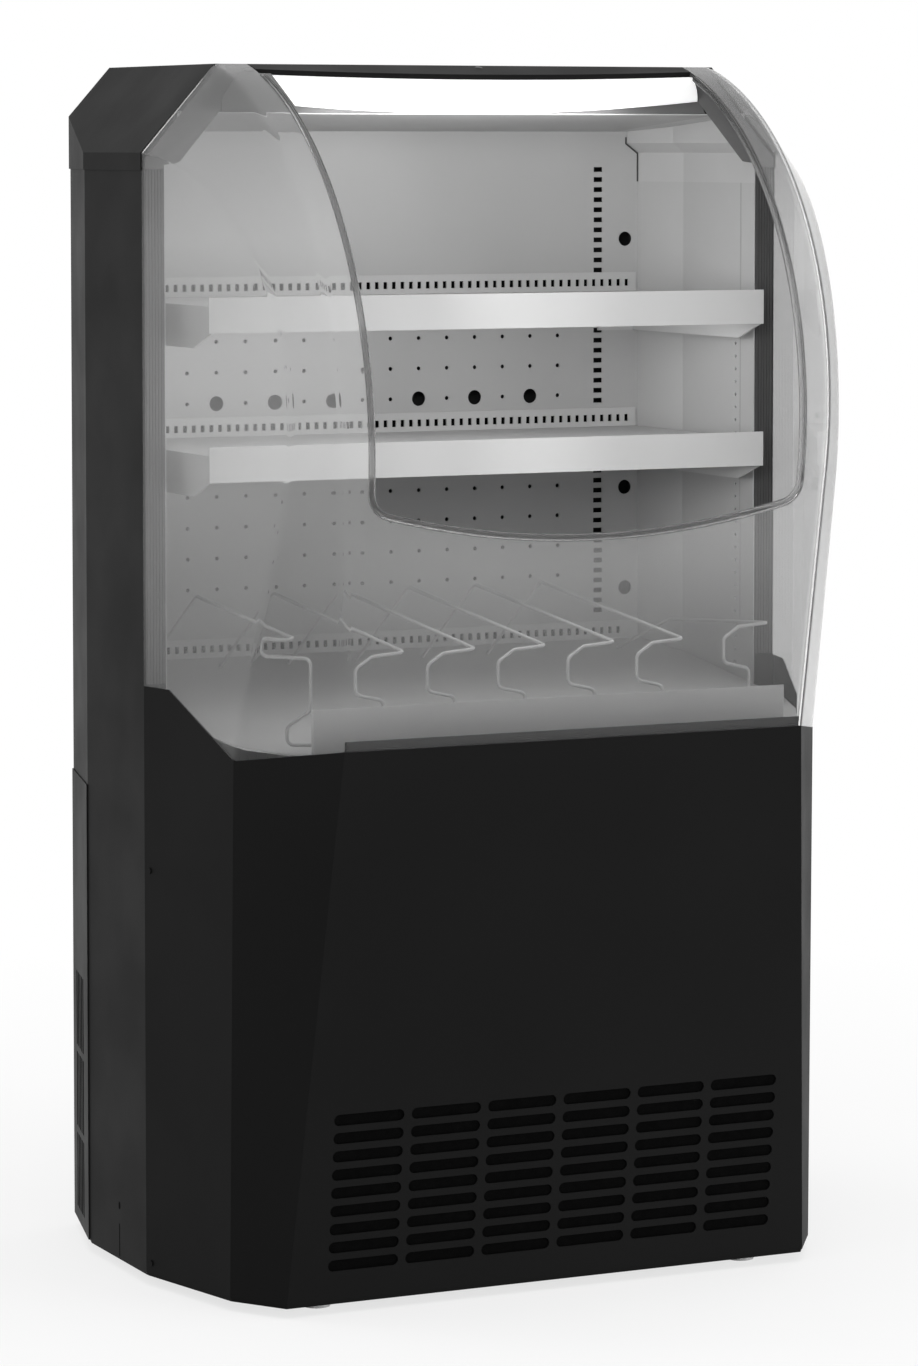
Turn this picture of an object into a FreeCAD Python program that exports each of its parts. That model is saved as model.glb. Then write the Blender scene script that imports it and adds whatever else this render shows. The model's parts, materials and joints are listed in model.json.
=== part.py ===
import FreeCAD, Part
import math
import os

from FreeCAD import Vector

# Open-front display fridge, millimetres. X across, -Y is the front, +Z up, floor at zero.
# The front faces of the side flanges lie on y = 0.

# Casing
casing_half_width = 410.0
rear_narrowing = 38.0
rear_half_width = casing_half_width - rear_narrowing
rear_depth = 328.5
side_straight_depth = 181.5
casing_bottom = 15.0
skin = 2.0
rear_flange = 22.0
top_height = 1400.0
shoulder_drop = 101.0
shoulder_run = 89.0
shoulder_height = top_height - shoulder_drop
top_half_width = casing_half_width - shoulder_run
hood_sheet = 1.5
hood_skirt = 20.0
rear_cover_sheet = 1.5
rear_cover_overlap = 17.0
overrun = 5.0
reach = 4000.0

# Louvres
louvre_groups = 3
louvre_slots = 5
louvre_first = 31.0
louvre_group_pitch = 98.5
louvre_height = 90.0
louvre_width = 10.0
louvre_pitch = 16.0
louvre_reach = 12.0
rear_slot_columns = 12
rear_slot_pitch = 24.0

# Front panel: two side facets, two corner facets and a front that leans forward
side_facet_angle = 13.68
corner_facet_angle = 34.7
front_lean_angle = 6.07
front_bottom_depth = 219.9
fold_bottom_inset = 81.3
fold_top_inset = 123.3
fold_bottom_half_width = casing_half_width - fold_bottom_inset
fold_top_half_width = casing_half_width - fold_top_inset
panel_shoulder_height = 692.0
panel_shoulder_run = 46.6
panel_corner_depth = 167.4
panel_corner_height = 623.0
panel_front_height = 642.0
grille_columns = 6
grille_rows = 9
grille_pitch_share = 0.289
grille_slot_share = 0.905
grille_pitch_x = fold_bottom_half_width * grille_pitch_share
grille_slot_length = grille_pitch_x * grille_slot_share
grille_slot_height = 13.0
grille_pitch_z = 21.0
grille_first_height = 56.0
filter_depth = 6.0
filter_margin = 12.0
filter_foot = 3.0

# Visor
visor_wall = 4.0
visor_foot_height = 600.0
visor_corner_lean = 17.0
visor_corner_arc_height = 917.0
visor_front_arc_height = 940.0
opening_inset_bottom = 140.0
opening_inset_top = 129.0
opening_half_width_bottom = casing_half_width - opening_inset_bottom
opening_half_width_top = casing_half_width - opening_inset_top
opening_centre_height = 868.0
opening_corner_height = 905.0
opening_corner_radius = 30.0
trim_width = 7.0
trim_wall = 1.5

# Liner and foam
liner_sheet = 1.5
side_wall = 30.4
rear_corner_wall = 51.0
liner_half_width = casing_half_width - side_wall
liner_rear_half_width = casing_half_width - rear_corner_wall
liner_depth = 263.7
ceiling_rear_drop = 76.0
ceiling_front_drop = 57.0
ceiling_rear_height = top_height - ceiling_rear_drop
ceiling_front_height = top_height - ceiling_front_drop
moulding_drop = 138.0
moulding_height = top_height - moulding_drop
moulding_reach = 33.0
cove_inset = 16.0
cove_low_drop = 102.0
cove_high_drop = 90.0
duct_depth = 26.0
deck_rear_height = 689.0
floor_drop = 149.0
floor_depth = 40.0
floor_top = deck_rear_height - floor_drop
floor_bottom = floor_top - floor_depth
rear_cover_top = floor_top + rear_cover_overlap
shelf_shares = (0.68504, 0.418898)
bay_height = ceiling_rear_height - deck_rear_height
upper_shelf_height, lower_shelf_height = [deck_rear_height + bay_height * share for share in shelf_shares]
shelf_slot_width = 12.0
shelf_slot_height = 6.0
shelf_slot_pitch = 12.5
shelf_slot_inset = 107.0
shelf_slot_rise = 38.0
shelf_slot_top = 47.0
shelf_slot_offset = casing_half_width - shelf_slot_inset
shelf_slot_first = deck_rear_height + shelf_slot_rise
shelf_slot_count = 1 + int((ceiling_rear_height - shelf_slot_top - shelf_slot_first) / shelf_slot_pitch)
air_hole_radius = 2.5
air_hole_pitch = 38.0
air_hole_columns = 14
air_hole_row_pitch = 37.2
upper_air_hole_rows = 3
upper_air_hole_rise = 42.0
upper_air_hole_height = lower_shelf_height + upper_air_hole_rise
lower_air_hole_rows = 4
lower_air_hole_rise = 84.0
lower_air_hole_height = deck_rear_height + lower_air_hole_rise
vent_radius = 9.0
vent_height = upper_air_hole_height
vent_offset_shares = (1.5, 3.5, 5.5)
wall_vent_inset = 69.0
wall_vent_offset = casing_half_width - wall_vent_inset
upper_vent_rise = 66.6
middle_vent_drop = 75.0
lower_vent_rise = 65.0
wall_vent_heights = (upper_shelf_height + upper_vent_rise, lower_shelf_height - middle_vent_drop,
                     deck_rear_height + lower_vent_rise)
side_hole_radius = 2.0
side_hole_pitch = 15.5
side_hole_count = 26
side_hole_depth = 45.0
side_hole_drop = 9.0
side_hole_first = deck_rear_height - side_hole_drop

# Canopy and lamp
canopy_bow_end = 22.0
canopy_bow_middle = 40.0
canopy_slope = 15.4
canopy_lip = 6.0
lamp_inset = 118.5
lamp_half_width = casing_half_width - lamp_inset
lamp_taper = 8.5
lamp_wall = 3.0
lamp_back = 30.0

# Shelves, deck and dividers
shelf_sheet = 2.0
shelf_clearance = 0.25
shelf_side_clearance = 4.0
shelf_front = 67.6
shelf_lip = 40.5
shelf_upstand = 25.0
shelf_rise = 12.0
bracket_sheet = 2.5
bracket_depth = 47.0
bracket_nose = 53.0
hook_height = 3.5
hook_reach = 2.0
hooks_per_bracket = 2
deck_sheet = 2.0
deck_drop = 61.0
deck_front_height = deck_rear_height - deck_drop
deck_front = 225.0
deck_front_inset = 116.0
deck_front_half_width = casing_half_width - deck_front_inset
deck_lip = 55.0
deck_upstand = 24.0
deck_side_clearance = 1.0
rim_slot_width = 5.0
rim_slot_height = 8.5
rim_slot_pitch = 11.4
rim_slot_rise = 8.0
wire_radius = 2.0
wire_bend = 8.0
wire_rear = 150.0
wire_rear_rise = 88.0
wire_front_rise = 114.0
wire_rear_height = deck_rear_height + wire_rear_rise
wire_front_height = deck_front_height + wire_front_rise
wire_foot_depth = 205.0
wire_foot_shift = 45.0
wire_first = -185.0
wire_pitch = 88.0
wire_count = 5
end_wire_inset = 99.0
end_wire_offset = casing_half_width - end_wire_inset
end_wire_shift = 29.0
last_wire_inset = 65.0
last_wire_offset = casing_half_width - last_wire_inset
last_wire_front = 100.0
last_wire_drop = 53.0
seat_clearance = 0.25

# Base, feet and machinery
base_sheet = 3.0
base_drop = 4.0
base_wall = 30.0
foot_inset = 138.0
foot_half_spacing = casing_half_width - foot_inset
foot_front = 172.0
foot_rear = 255.0
foot_pad_radius = 16.0
foot_stud_radius = 5.0
foot_stud_length = 36.0
foot_boss_radius = 12.0
foot_boss_height = 22.0
running_clearance = 0.05
side_step = 40.0
rail_dip = 3.0
hook_step = 60.0
shoulder_dip = 16.0
neck_dip = 45.0
pin_step = 26.0
pin_dip = 53.0
pin_rise = 34.0
pin_height = deck_front_height + pin_rise
loop_reach = 26.0
loop_depth = 48.0
loop_rise = 18.0
loop_height = 20.0
loop_floor = 12.0
loop_step = 20.0
fin_pitch = 12.0
fin_sheet = 1.2
tube_pitch = 32.0
tube_radius = 4.5
tube_overhang = 9.0
tube_row_share = 0.5
condenser_left = -44.0
condenser_inset = 178.0
condenser_width = casing_half_width - condenser_inset - condenser_left
condenser_front = -165.0
condenser_depth = 44.0
condenser_height = 256.0
evaporator_inset = 92.0
evaporator_half_width = casing_half_width - evaporator_inset
evaporator_front = -60.0
evaporator_depth = 90.0
evaporator_height = 84.0
compressor_x = -190.0
compressor_y = 130.0
compressor_radius = 88.0
compressor_height = 170.0
compressor_leg = 22.0
compressor_leg_radius = 9.0
dome_share = 0.4
leg_share = 0.85
shroud_sheet = 2.0
fan_clearance = 4.0
fan_radius = 100.0
fan_hub_radius = 26.0
fan_depth = 26.0
shaft_radius = 4.0
blade_count = 5
blade_sheet = 2.0
blade_angle = 65.0
motor_radius = 36.0
motor_length = 62.0
small_fan_offset = 160.0
small_fan_front = 96.0
small_fan_rise = 52.0
small_fan_level = floor_top + small_fan_rise
small_fan_radius = 42.0
small_hub_radius = 15.0
small_shaft_radius = 2.5
small_fan_depth = 16.0
small_frame_height = 104.0
small_motor_radius = 18.0
small_motor_length = 30.0
tray_left = 60.0
tray_width = 260.0
tray_front = 90.0
tray_depth = 150.0
tray_height = 40.0

# Controls, inlet and screws
control_left = -90.0
control_width = 150.0
control_drop = 100.0
control_low = floor_bottom - control_drop
control_height = 70.0
control_margin = 10.0
control_depth = 60.0
control_recess = 12.0
knob_share = 0.3
knob_radius = 15.0
knob_shaft_radius = 3.0
pointer_width = 3.0
pointer_height = 1.5
switch_share = 0.75
rocker_radius = 9.0
rocker_width = 20.0
rocker_height = 24.0
rocker_sink = 4.0
rocker_paddle = 2.8
rocker_tilt = 8.0
inlet_x = 230.0
inlet_drop = 70.0
inlet_height = floor_bottom - inlet_drop
inlet_radius = 11.0
inlet_bore = 5.0
inlet_flange = 5.0
inlet_length = 24.0
screw_radius = 3.5
screw_head = 1.5
side_screw_run = 10.0
side_screw_heights = (27.0, 481.0)
cover_screw_inset = 90.0
cover_screw_offset = casing_half_width - cover_screw_inset
cover_screw_shares = (0.046, 0.526, 0.978)
cover_height = rear_cover_top - casing_bottom
cover_screw_heights = [casing_bottom + cover_height * share for share in cover_screw_shares]


def box(x_range, y_range, z_range):
    corner = Vector(x_range[0], y_range[0], z_range[0])
    sizes = [span[1] - span[0] for span in (x_range, y_range, z_range)]
    return Part.makeBox(*sizes, corner)


def polygon_face(points):
    return Part.Face(Part.makePolygon(points + [points[0]]))


def plan_prism(outline, bottom, top):
    face = polygon_face([Vector(x, y, bottom) for x, y in outline])
    return face.extrude(Vector(0, 0, top - bottom))


def side_prism(outline, half_width):
    face = polygon_face([Vector(-half_width, y, z) for y, z in outline])
    return face.extrude(Vector(2 * half_width, 0, 0))


def front_prism(outline, near, far):
    face = polygon_face([Vector(x, near, z) for x, z in outline])
    return face.extrude(Vector(0, far - near, 0))


def rod(centre, axis, radius, length):
    return Part.makeCylinder(radius, length, centre, axis)


def mirrored(shape):
    return shape.mirror(Vector(0, 0, 0), Vector(1, 0, 0))


def both_sides(outline):
    return outline + [(-x, y) for x, y in reversed(outline)]


def keep_behind(shape, point, normal):
    corner = Vector(-reach / 2, -reach / 2, 0)
    block = Part.makeBox(reach, reach, reach, corner)
    block.Placement = FreeCAD.Placement(point, FreeCAD.Rotation(Vector(0, 0, 1), normal))
    return shape.cut(block)


def offset_line(points, distance):
    # Mitred copy of an open line, moved to the left of its direction
    normals = []
    for first, second in zip(points, points[1:]):
        length = math.dist(first, second)
        normals.append((-(second[1] - first[1]) / length, (second[0] - first[0]) / length))
    normals = [normals[0]] + normals + [normals[-1]]
    moved = []
    for point, before, after in zip(points, normals, normals[1:]):
        scale = distance / (1 + before[0] * after[0] + before[1] * after[1])
        moved.append((point[0] + scale * (before[0] + after[0]), point[1] + scale * (before[1] + after[1])))
    return moved


def sheet_outline(points, thickness):
    return points + list(reversed(offset_line(points, thickness)))


def obround_slot(centre_x, centre_z, length, height, near, far):
    radius = height / 2
    run = length / 2 - radius
    middle = box((centre_x - run, centre_x + run), (near, far), (centre_z - radius, centre_z + radius))
    ends = [rod(Vector(centre_x + side * run, near, centre_z), Vector(0, 1, 0), radius, far - near)
            for side in (-1, 1)]
    return middle.multiFuse(ends).removeSplitter()


def export(name, shape):
    shape.exportStep("parts/" + name + ".step")


def export_pair(name, right):
    export(name + "_right", right)
    export(name + "_left", mirrored(right))


# Casing

rear_corner = (rear_half_width, rear_depth)
side_corner = (casing_half_width, side_straight_depth)
front_corner = (casing_half_width, 0)
rear_facet_angle = math.degrees(math.atan2(rear_narrowing, rear_depth - side_straight_depth))


def louvre_cutters():
    # Upright slots in the slanted rear corner, in three groups one above another
    mid_x = (casing_half_width + rear_half_width) / 2
    mid_y = (rear_depth + side_straight_depth) / 2
    cutters = []
    for group in range(louvre_groups):
        low = louvre_first + group * louvre_group_pitch
        for slot in range(louvre_slots):
            along = (slot - (louvre_slots - 1) / 2) * louvre_pitch
            cutter = box((-louvre_reach, louvre_reach), (along, along + louvre_width),
                         (low, low + louvre_height))
            cutter.rotate(Vector(0, 0, 0), Vector(0, 0, 1), rear_facet_angle)
            cutter.translate(Vector(mid_x, mid_y, 0))
            cutters.append(cutter)
    return cutters


def side_panel():
    flange_end = liner_half_width + liner_sheet
    line = [(rear_half_width - rear_flange, rear_depth), rear_corner, side_corner, front_corner,
            (flange_end, 0)]
    outline = sheet_outline(line, -skin)
    return plan_prism(outline, casing_bottom, shoulder_height - hood_sheet).cut(louvre_cutters())


def back_panel():
    half_width = rear_half_width - rear_flange
    low = rear_cover_top - rear_cover_overlap
    return box((-half_width, half_width), (rear_depth - skin, rear_depth),
               (low, shoulder_height - hood_sheet))


def rear_cover():
    line = [(-casing_half_width, side_straight_depth), (-rear_half_width, rear_depth),
            rear_corner, side_corner]
    cover = plan_prism(sheet_outline(line, rear_cover_sheet), casing_bottom, rear_cover_top)
    right = louvre_cutters()
    rear_slots = []
    for row in range(louvre_groups):
        low = louvre_first + row * louvre_group_pitch
        for column in range(rear_slot_columns):
            x = (column - (rear_slot_columns - 1) / 2) * rear_slot_pitch
            rear_slots.append(box((x, x + louvre_width), (rear_depth - overrun, rear_depth + overrun),
                                  (low, low + louvre_height)))
    cover = cover.cut(right + [mirrored(cutter) for cutter in right] + rear_slots)
    return cover.cut([control_window(), inlet_hole()])


def shoulder_outline(inset):
    # Casing section across the width, moved inwards by the inset
    rise = top_height - shoulder_height
    run = casing_half_width - top_half_width
    slope = math.hypot(rise, run)
    side = casing_half_width + hood_sheet - inset
    low = shoulder_height - inset * (slope - rise) / run
    high_x = top_half_width - inset * (slope - run) / rise
    skirt = shoulder_height - hood_skirt
    return [(side, skirt), (side, low), (high_x, top_height - inset),
            (-high_x, top_height - inset), (-side, low), (-side, skirt)]


def hood_block(inset, near):
    line = [(casing_half_width, 0), side_corner, rear_corner]
    wide = offset_line(line, inset - hood_sheet)
    plan = [(wide[0][0], near)] + wide[1:]
    rear = plan[-1]
    plan = [plan[0], plan[1], (rear[0], rear_depth + hood_sheet - inset)]
    low = shoulder_height - hood_skirt - overrun
    prism = plan_prism(both_sides(plan), low, top_height + overrun)
    return front_prism(shoulder_outline(inset), -2 * overrun, reach / 2).common(prism)


def top_hood():
    return hood_block(0, 0).cut(hood_block(hood_sheet, -overrun))


# Front panel

side_slope = math.tan(math.radians(side_facet_angle))
side_normal = Vector(math.cos(math.radians(side_facet_angle)), -math.sin(math.radians(side_facet_angle)), 0)
lean_slope = math.tan(math.radians(front_lean_angle))
front_normal = Vector(0, -math.cos(math.radians(front_lean_angle)), -math.sin(math.radians(front_lean_angle)))
corner_run = Vector(math.sin(math.radians(corner_facet_angle)), math.cos(math.radians(corner_facet_angle)), 0)


def front_depth(height):
    return -front_bottom_depth - (height - casing_bottom) * lean_slope


def fold_points():
    low = Vector(fold_bottom_half_width, front_depth(casing_bottom), casing_bottom)
    high = Vector(fold_top_half_width, front_depth(panel_front_height), panel_front_height)
    return low, high


def corner_normal():
    low, high = fold_points()
    normal = (high - low).cross(corner_run)
    normal.normalize()
    return normal * math.copysign(1, normal.x)


def front_block(inset, low, high, rear):
    block = box((-casing_half_width, casing_half_width), (-reach / 2, rear), (low, high))
    low_fold = fold_points()[0]
    planes = [(Vector(casing_half_width, 0, 0), side_normal), (low_fold, corner_normal())]
    for point, normal in planes:
        for side in (1, -1):
            moved = point - normal * inset
            block = keep_behind(block, Vector(side * moved.x, moved.y, moved.z),
                                Vector(side * normal.x, normal.y, normal.z))
    return keep_behind(block, low_fold - front_normal * inset, front_normal)


def panel_edge_outline():
    # Side view of everything above the panel's upper edge
    front = front_depth(panel_front_height)
    return [(overrun, panel_shoulder_height), (-panel_shoulder_run, panel_shoulder_height),
            (-panel_corner_depth, panel_corner_height), (front, panel_front_height),
            (-reach / 2, panel_front_height), (-reach / 2, reach), (overrun, reach)]


def above_panel():
    return side_prism(panel_edge_outline(), casing_half_width + overrun)


def grille_slots():
    near = front_depth(panel_front_height)
    far = skin + overrun - front_bottom_depth
    slots = []
    for row in range(grille_rows):
        for column in range(grille_columns):
            x = (column - (grille_columns - 1) / 2) * grille_pitch_x
            z = grille_first_height + row * grille_pitch_z
            slots.append(obround_slot(x, z, grille_slot_length, grille_slot_height, near, far))
    return slots


def front_panel():
    outer = front_block(0, casing_bottom, panel_shoulder_height, 0)
    inner = front_block(skin, casing_bottom - overrun, panel_shoulder_height + overrun, overrun)
    return outer.cut(inner).cut(above_panel()).cut(grille_slots())


def air_filter():
    # Flat filter mat against the back of the slotted front
    low = grille_first_height - grille_slot_height / 2 - filter_foot
    high = grille_first_height + (grille_rows - 1) * grille_pitch_z + grille_slot_height / 2 + filter_margin
    half_width = (grille_columns - 1) / 2 * grille_pitch_x + grille_slot_length / 2 + filter_margin
    slab = box((-half_width, half_width), (-reach / 2, 0), (low, high))
    slab = keep_behind(slab, fold_points()[0] - front_normal * skin, front_normal)
    return slab.cut(front_block(skin + filter_depth, low - overrun, high + overrun, overrun))


# Visor

fold_spread = (top_half_width - fold_top_half_width) / (top_height - panel_front_height)
corner_back_share = 0.417
fold_in_share = 0.524


def shoulder_points(inset):
    # Ends of the chamfered shoulder on the flange plane, moved inwards by the inset
    rise = top_height - shoulder_height
    run = casing_half_width - top_half_width
    level = rise * casing_half_width + run * shoulder_height - inset * math.hypot(rise, run)
    side = casing_half_width - inset / side_normal.x
    top = top_height - inset
    return Vector(side, 0, (level - rise * side) / run), Vector((level - run * top) / rise, 0, top)


def tangent_middle(start, slope, end):
    # Middle of the arc that leaves start along a forward-leaning line and ends at end, in side view
    lean = math.atan(slope)
    across = (math.cos(lean), math.sin(lean))
    chord = (end[0] - start[0], end[1] - start[1])
    radius = (chord[0] ** 2 + chord[1] ** 2) / (2 * (chord[0] * across[0] + chord[1] * across[1]))
    centre = (start[0] + radius * across[0], start[1] + radius * across[1])
    first = math.atan2(start[1] - centre[1], start[0] - centre[0])
    last = math.atan2(end[1] - centre[1], end[0] - centre[0])
    angle = (first % (2 * math.pi) + last) / 2
    return centre[0] + radius * math.cos(angle), centre[1] + radius * math.sin(angle)


def corner_fold(inset):
    # The fold between the flat side and the corner: foot, start of the arc, its middle and its end
    lean = math.tan(math.radians(visor_corner_lean))
    places = []
    for height in (visor_foot_height, visor_corner_arc_height):
        forwards = panel_corner_depth + (height - panel_corner_height) * lean
        places.append((corner_back_share * inset - forwards, height))
    end = shoulder_points(inset)[0]
    places.append(tangent_middle(places[1], lean, (end.y, end.z)))
    points = [Vector(end.x + y * side_slope, y, z) for y, z in places]
    return points + [end]


def front_fold(inset):
    # The fold between the corner and the front
    places = []
    for height in (visor_foot_height, visor_front_arc_height):
        places.append((front_depth(height) - inset / front_normal.y, height))
    end = shoulder_points(inset)[1]
    places.append(tangent_middle(places[1], lean_slope, (end.y, end.z)))
    inwards = fold_in_share * inset
    points = [Vector(fold_top_half_width + (z - panel_front_height) * fold_spread - inwards, y, z)
              for y, z in places]
    return points + [end]


def fold_edges(points):
    return Part.LineSegment(points[0], points[1]).toShape(), Part.Arc(*points[1:]).toShape()


def other_side(points):
    return [Vector(-point.x, point.y, point.z) for point in points]


def visor_block(inset):
    faces = []
    corner, front = corner_fold(inset), front_fold(inset)
    foot = Vector(corner[3].x, 0, visor_foot_height)
    sides = [(corner, front, foot), (other_side(corner), other_side(front), other_side([foot])[0])]
    for corner_points, front_points, foot_point in sides:
        line, arc = fold_edges(corner_points)
        front_line, front_arc = fold_edges(front_points)
        closing = [Part.LineSegment(corner_points[3], foot_point).toShape(),
                   Part.LineSegment(foot_point, corner_points[0]).toShape()]
        faces.append(Part.Face(Part.Wire([line, arc] + closing)))
        faces.append(Part.makeRuledSurface(line, front_line))
        faces.append(Part.makeRuledSurface(arc, front_arc))
    right_line, right_arc = fold_edges(front)
    left_line, left_arc = fold_edges(other_side(front))
    faces.append(Part.makeRuledSurface(right_line, left_line))
    faces.append(Part.makeRuledSurface(right_arc, left_arc))
    rear = [foot, corner[3], front[3]]
    faces.append(polygon_face(rear + list(reversed(other_side(rear)))))
    base = [foot, corner[0], front[0]]
    faces.append(polygon_face(base + list(reversed(other_side(base)))))
    shell = Part.makeShell(faces)
    shell.sewShape()
    solid = Part.makeSolid(shell)
    if solid.Volume < 0:
        solid.reverse()
    return solid


def opening_prism(inset):
    low_x = opening_half_width_bottom - inset
    high_x = opening_half_width_top - inset
    near = -reach / 2
    top = top_height + overrun
    left_low = Vector(-low_x, near, opening_corner_height + inset)
    right_low = Vector(low_x, near, opening_corner_height + inset)
    middle = Vector(0, near, opening_centre_height + inset)
    right_high = Vector(high_x, near, top)
    left_high = Vector(-high_x, near, top)
    edges = [Part.Arc(left_low, middle, right_low).toShape(),
             Part.LineSegment(right_low, right_high).toShape(),
             Part.LineSegment(right_high, left_high).toShape(),
             Part.LineSegment(left_high, left_low).toShape()]
    prism = Part.Face(Part.Wire(edges)).extrude(Vector(0, reach / 2, 0))
    corners = [edge for edge in prism.Edges
               if edge.BoundBox.YLength > reach / 4 and edge.BoundBox.ZMax < visor_front_arc_height]
    return prism.makeFillet(opening_corner_radius - inset / 2, corners)


def visor():
    shell = visor_block(0).cut(visor_block(visor_wall))
    return shell.common(above_panel()).cut(opening_prism(0))


def visor_trim():
    band = visor_block(-trim_wall).cut(visor_block(visor_wall + trim_wall))
    ring = opening_prism(0).cut(opening_prism(trim_width))
    bead = band.common(ring)
    return keep_behind(bead, Vector(0, -canopy_bow_middle - seat_clearance, 0), Vector(0, 1, 0))


# Canopy and lamp

canopy_drop = math.tan(math.radians(canopy_slope))


def canopy_fascia():
    half_width = opening_half_width_top - trim_wall
    low = top_height - canopy_lip - canopy_bow_middle
    arc = Part.Arc(Vector(-half_width, -canopy_bow_end, low), Vector(0, -canopy_bow_middle, low),
                   Vector(half_width, -canopy_bow_end, low)).toShape()
    corners = [Vector(half_width, -canopy_bow_end, low), Vector(half_width, 0, low),
               Vector(-half_width, 0, low), Vector(-half_width, -canopy_bow_end, low)]
    plan = Part.Face(Part.Wire([arc, Part.makePolygon(corners)]))
    front = -canopy_bow_middle - overrun
    slab = side_prism([(0, top_height), (front, top_height + front * canopy_drop),
                       (front, top_height + front * canopy_drop - canopy_lip),
                       (0, top_height - canopy_lip)], half_width)
    return slab.common(plan.extrude(Vector(0, 0, 2 * canopy_bow_middle)))


def light_diffuser():
    top = top_height - canopy_lip - canopy_bow_end * canopy_drop - seat_clearance
    low = ceiling_front_height + liner_sheet
    face = side_prism([(-canopy_bow_end, top), (0, low), (0, low + 2 * lamp_wall),
                       (lamp_wall - canopy_bow_end, top)], lamp_half_width + lamp_taper)
    outline = [(lamp_half_width + lamp_taper, low), (lamp_half_width - lamp_taper, top),
               (lamp_taper - lamp_half_width, top), (-lamp_half_width - lamp_taper, low)]
    return face.common(front_prism(outline, -reach / 2, reach / 2))


def light_housing():
    low = ceiling_front_height + liner_sheet
    high = top_height - hood_sheet - canopy_lip
    half_width = lamp_half_width - lamp_taper
    outer = box((-half_width, half_width), (0, lamp_back), (low + 2 * lamp_wall, high))
    inner = box((-half_width + lamp_wall, half_width - lamp_wall), (-overrun, lamp_back - lamp_wall),
                (low + 3 * lamp_wall, high - lamp_wall))
    return outer.cut(inner)


def led_board():
    low = ceiling_front_height + liner_sheet
    high = top_height - hood_sheet - canopy_lip
    half_width = lamp_half_width - 2 * lamp_taper
    return box((-half_width, half_width), (lamp_back - 2 * lamp_wall, lamp_back - lamp_wall),
               (low + 4 * lamp_wall, high - 2 * lamp_wall))


# Liner and foam

ceiling_angle = math.atan2(ceiling_front_height - ceiling_rear_height, liner_depth)
ceiling_normal = Vector(0, math.sin(ceiling_angle), math.cos(ceiling_angle))


def cavity_plan(inset, step, near):
    line = [(liner_half_width, near), (liner_half_width, side_straight_depth),
            (liner_rear_half_width, liner_depth)]
    grown = offset_line(line, step - inset)
    return both_sides([grown[0], grown[1], (grown[2][0], liner_depth + inset)])


def cavity(inset, near):
    # The cooled space, grown outwards by the inset, stepped in above a sloping cove
    low = top_height - cove_low_drop + inset
    high = top_height - cove_high_drop + inset
    wide, narrow = cavity_plan(inset, 0, near), cavity_plan(inset, cove_inset, near)
    wires = []
    for outline, level in ((wide, low), (narrow, high)):
        points = [Vector(x, y, level) for x, y in outline]
        wires.append(Part.makePolygon(points + points[:1]))
    cove = Part.makeLoft(wires, True, True)
    space = plan_prism(wide, floor_top, low).multiFuse([cove, plan_prism(narrow, high, top_height)])
    top = Vector(0, 0, ceiling_front_height) + ceiling_normal * inset
    return keep_behind(space.removeSplitter(), top, ceiling_normal)


def liner_shell():
    return cavity(liner_sheet, 0).cut(cavity(0, -overrun))


moulding_start = liner_rear_half_width - moulding_reach
behind_liner = (liner_depth, liner_depth + overrun)
along_liner = (0, liner_depth)


def liner_back():
    wall = liner_shell().common(box((-reach, reach), behind_liner, (floor_top, top_height)))
    far = liner_depth + overrun
    cutters = []
    for column in (-shelf_slot_offset, shelf_slot_offset):
        for row in range(shelf_slot_count):
            z = shelf_slot_first + row * shelf_slot_pitch
            cutters.append(box((column - shelf_slot_width / 2, column + shelf_slot_width / 2),
                               (liner_depth - overrun, far),
                               (z - shelf_slot_height / 2, z + shelf_slot_height / 2)))
    rows = [upper_air_hole_height + row * air_hole_row_pitch for row in range(upper_air_hole_rows)]
    rows += [lower_air_hole_height + row * air_hole_row_pitch for row in range(lower_air_hole_rows)]
    vents = [side * share * air_hole_pitch for side in (-1, 1) for share in vent_offset_shares]
    places = [(x, vent_height, vent_radius) for x in vents]
    for z in rows:
        for column in range(air_hole_columns):
            x = (column - (air_hole_columns - 1) / 2) * air_hole_pitch
            if z != vent_height or x not in vents:
                places.append((x, z, air_hole_radius))
    for z in wall_vent_heights:
        places += [(side * wall_vent_offset, z, vent_radius) for side in (-1, 1)]
    for x, z, radius in places:
        cutters.append(rod(Vector(x, liner_depth - overrun, z), Vector(0, 1, 0), radius, 2 * overrun))
    return wall.cut(cutters)


def liner_side():
    wall = liner_shell().common(box((0, reach), along_liner, (floor_top, moulding_height)))
    start = Vector(liner_half_width - overrun, side_hole_depth, side_hole_first)
    holes = []
    for row in range(side_hole_count):
        centre = start + Vector(0, 0, row * side_hole_pitch)
        holes.append(rod(centre, Vector(1, 0, 0), side_hole_radius, 2 * overrun))
    return wall.cut(holes)


def corner_moulding():
    return liner_shell().common(box((moulding_start, reach), along_liner, (moulding_height, top_height)))


def liner_ceiling():
    middle = box((-moulding_start, moulding_start), along_liner, (moulding_height, top_height))
    return liner_shell().common(middle)


def casing_space(inset, low, high):
    line = [(casing_half_width, skin), side_corner, rear_corner]
    inner = offset_line(line, inset)
    plan = [inner[0], inner[1], (inner[2][0], rear_depth - inset)]
    return plan_prism(both_sides(plan), low, high)


def side_foam():
    block = casing_space(skin, floor_top, shoulder_height - hood_sheet).cut(cavity(liner_sheet, -overrun))
    return block.common(box((liner_rear_half_width + liner_sheet, reach), (0, reach), (0, reach)))


def back_foam():
    half_width = liner_rear_half_width + liner_sheet
    return box((-half_width, half_width), (liner_depth + liner_sheet + duct_depth, rear_depth - skin),
               (floor_top, shoulder_height - hood_sheet)).common(casing_space(skin, floor_top, top_height))


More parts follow.
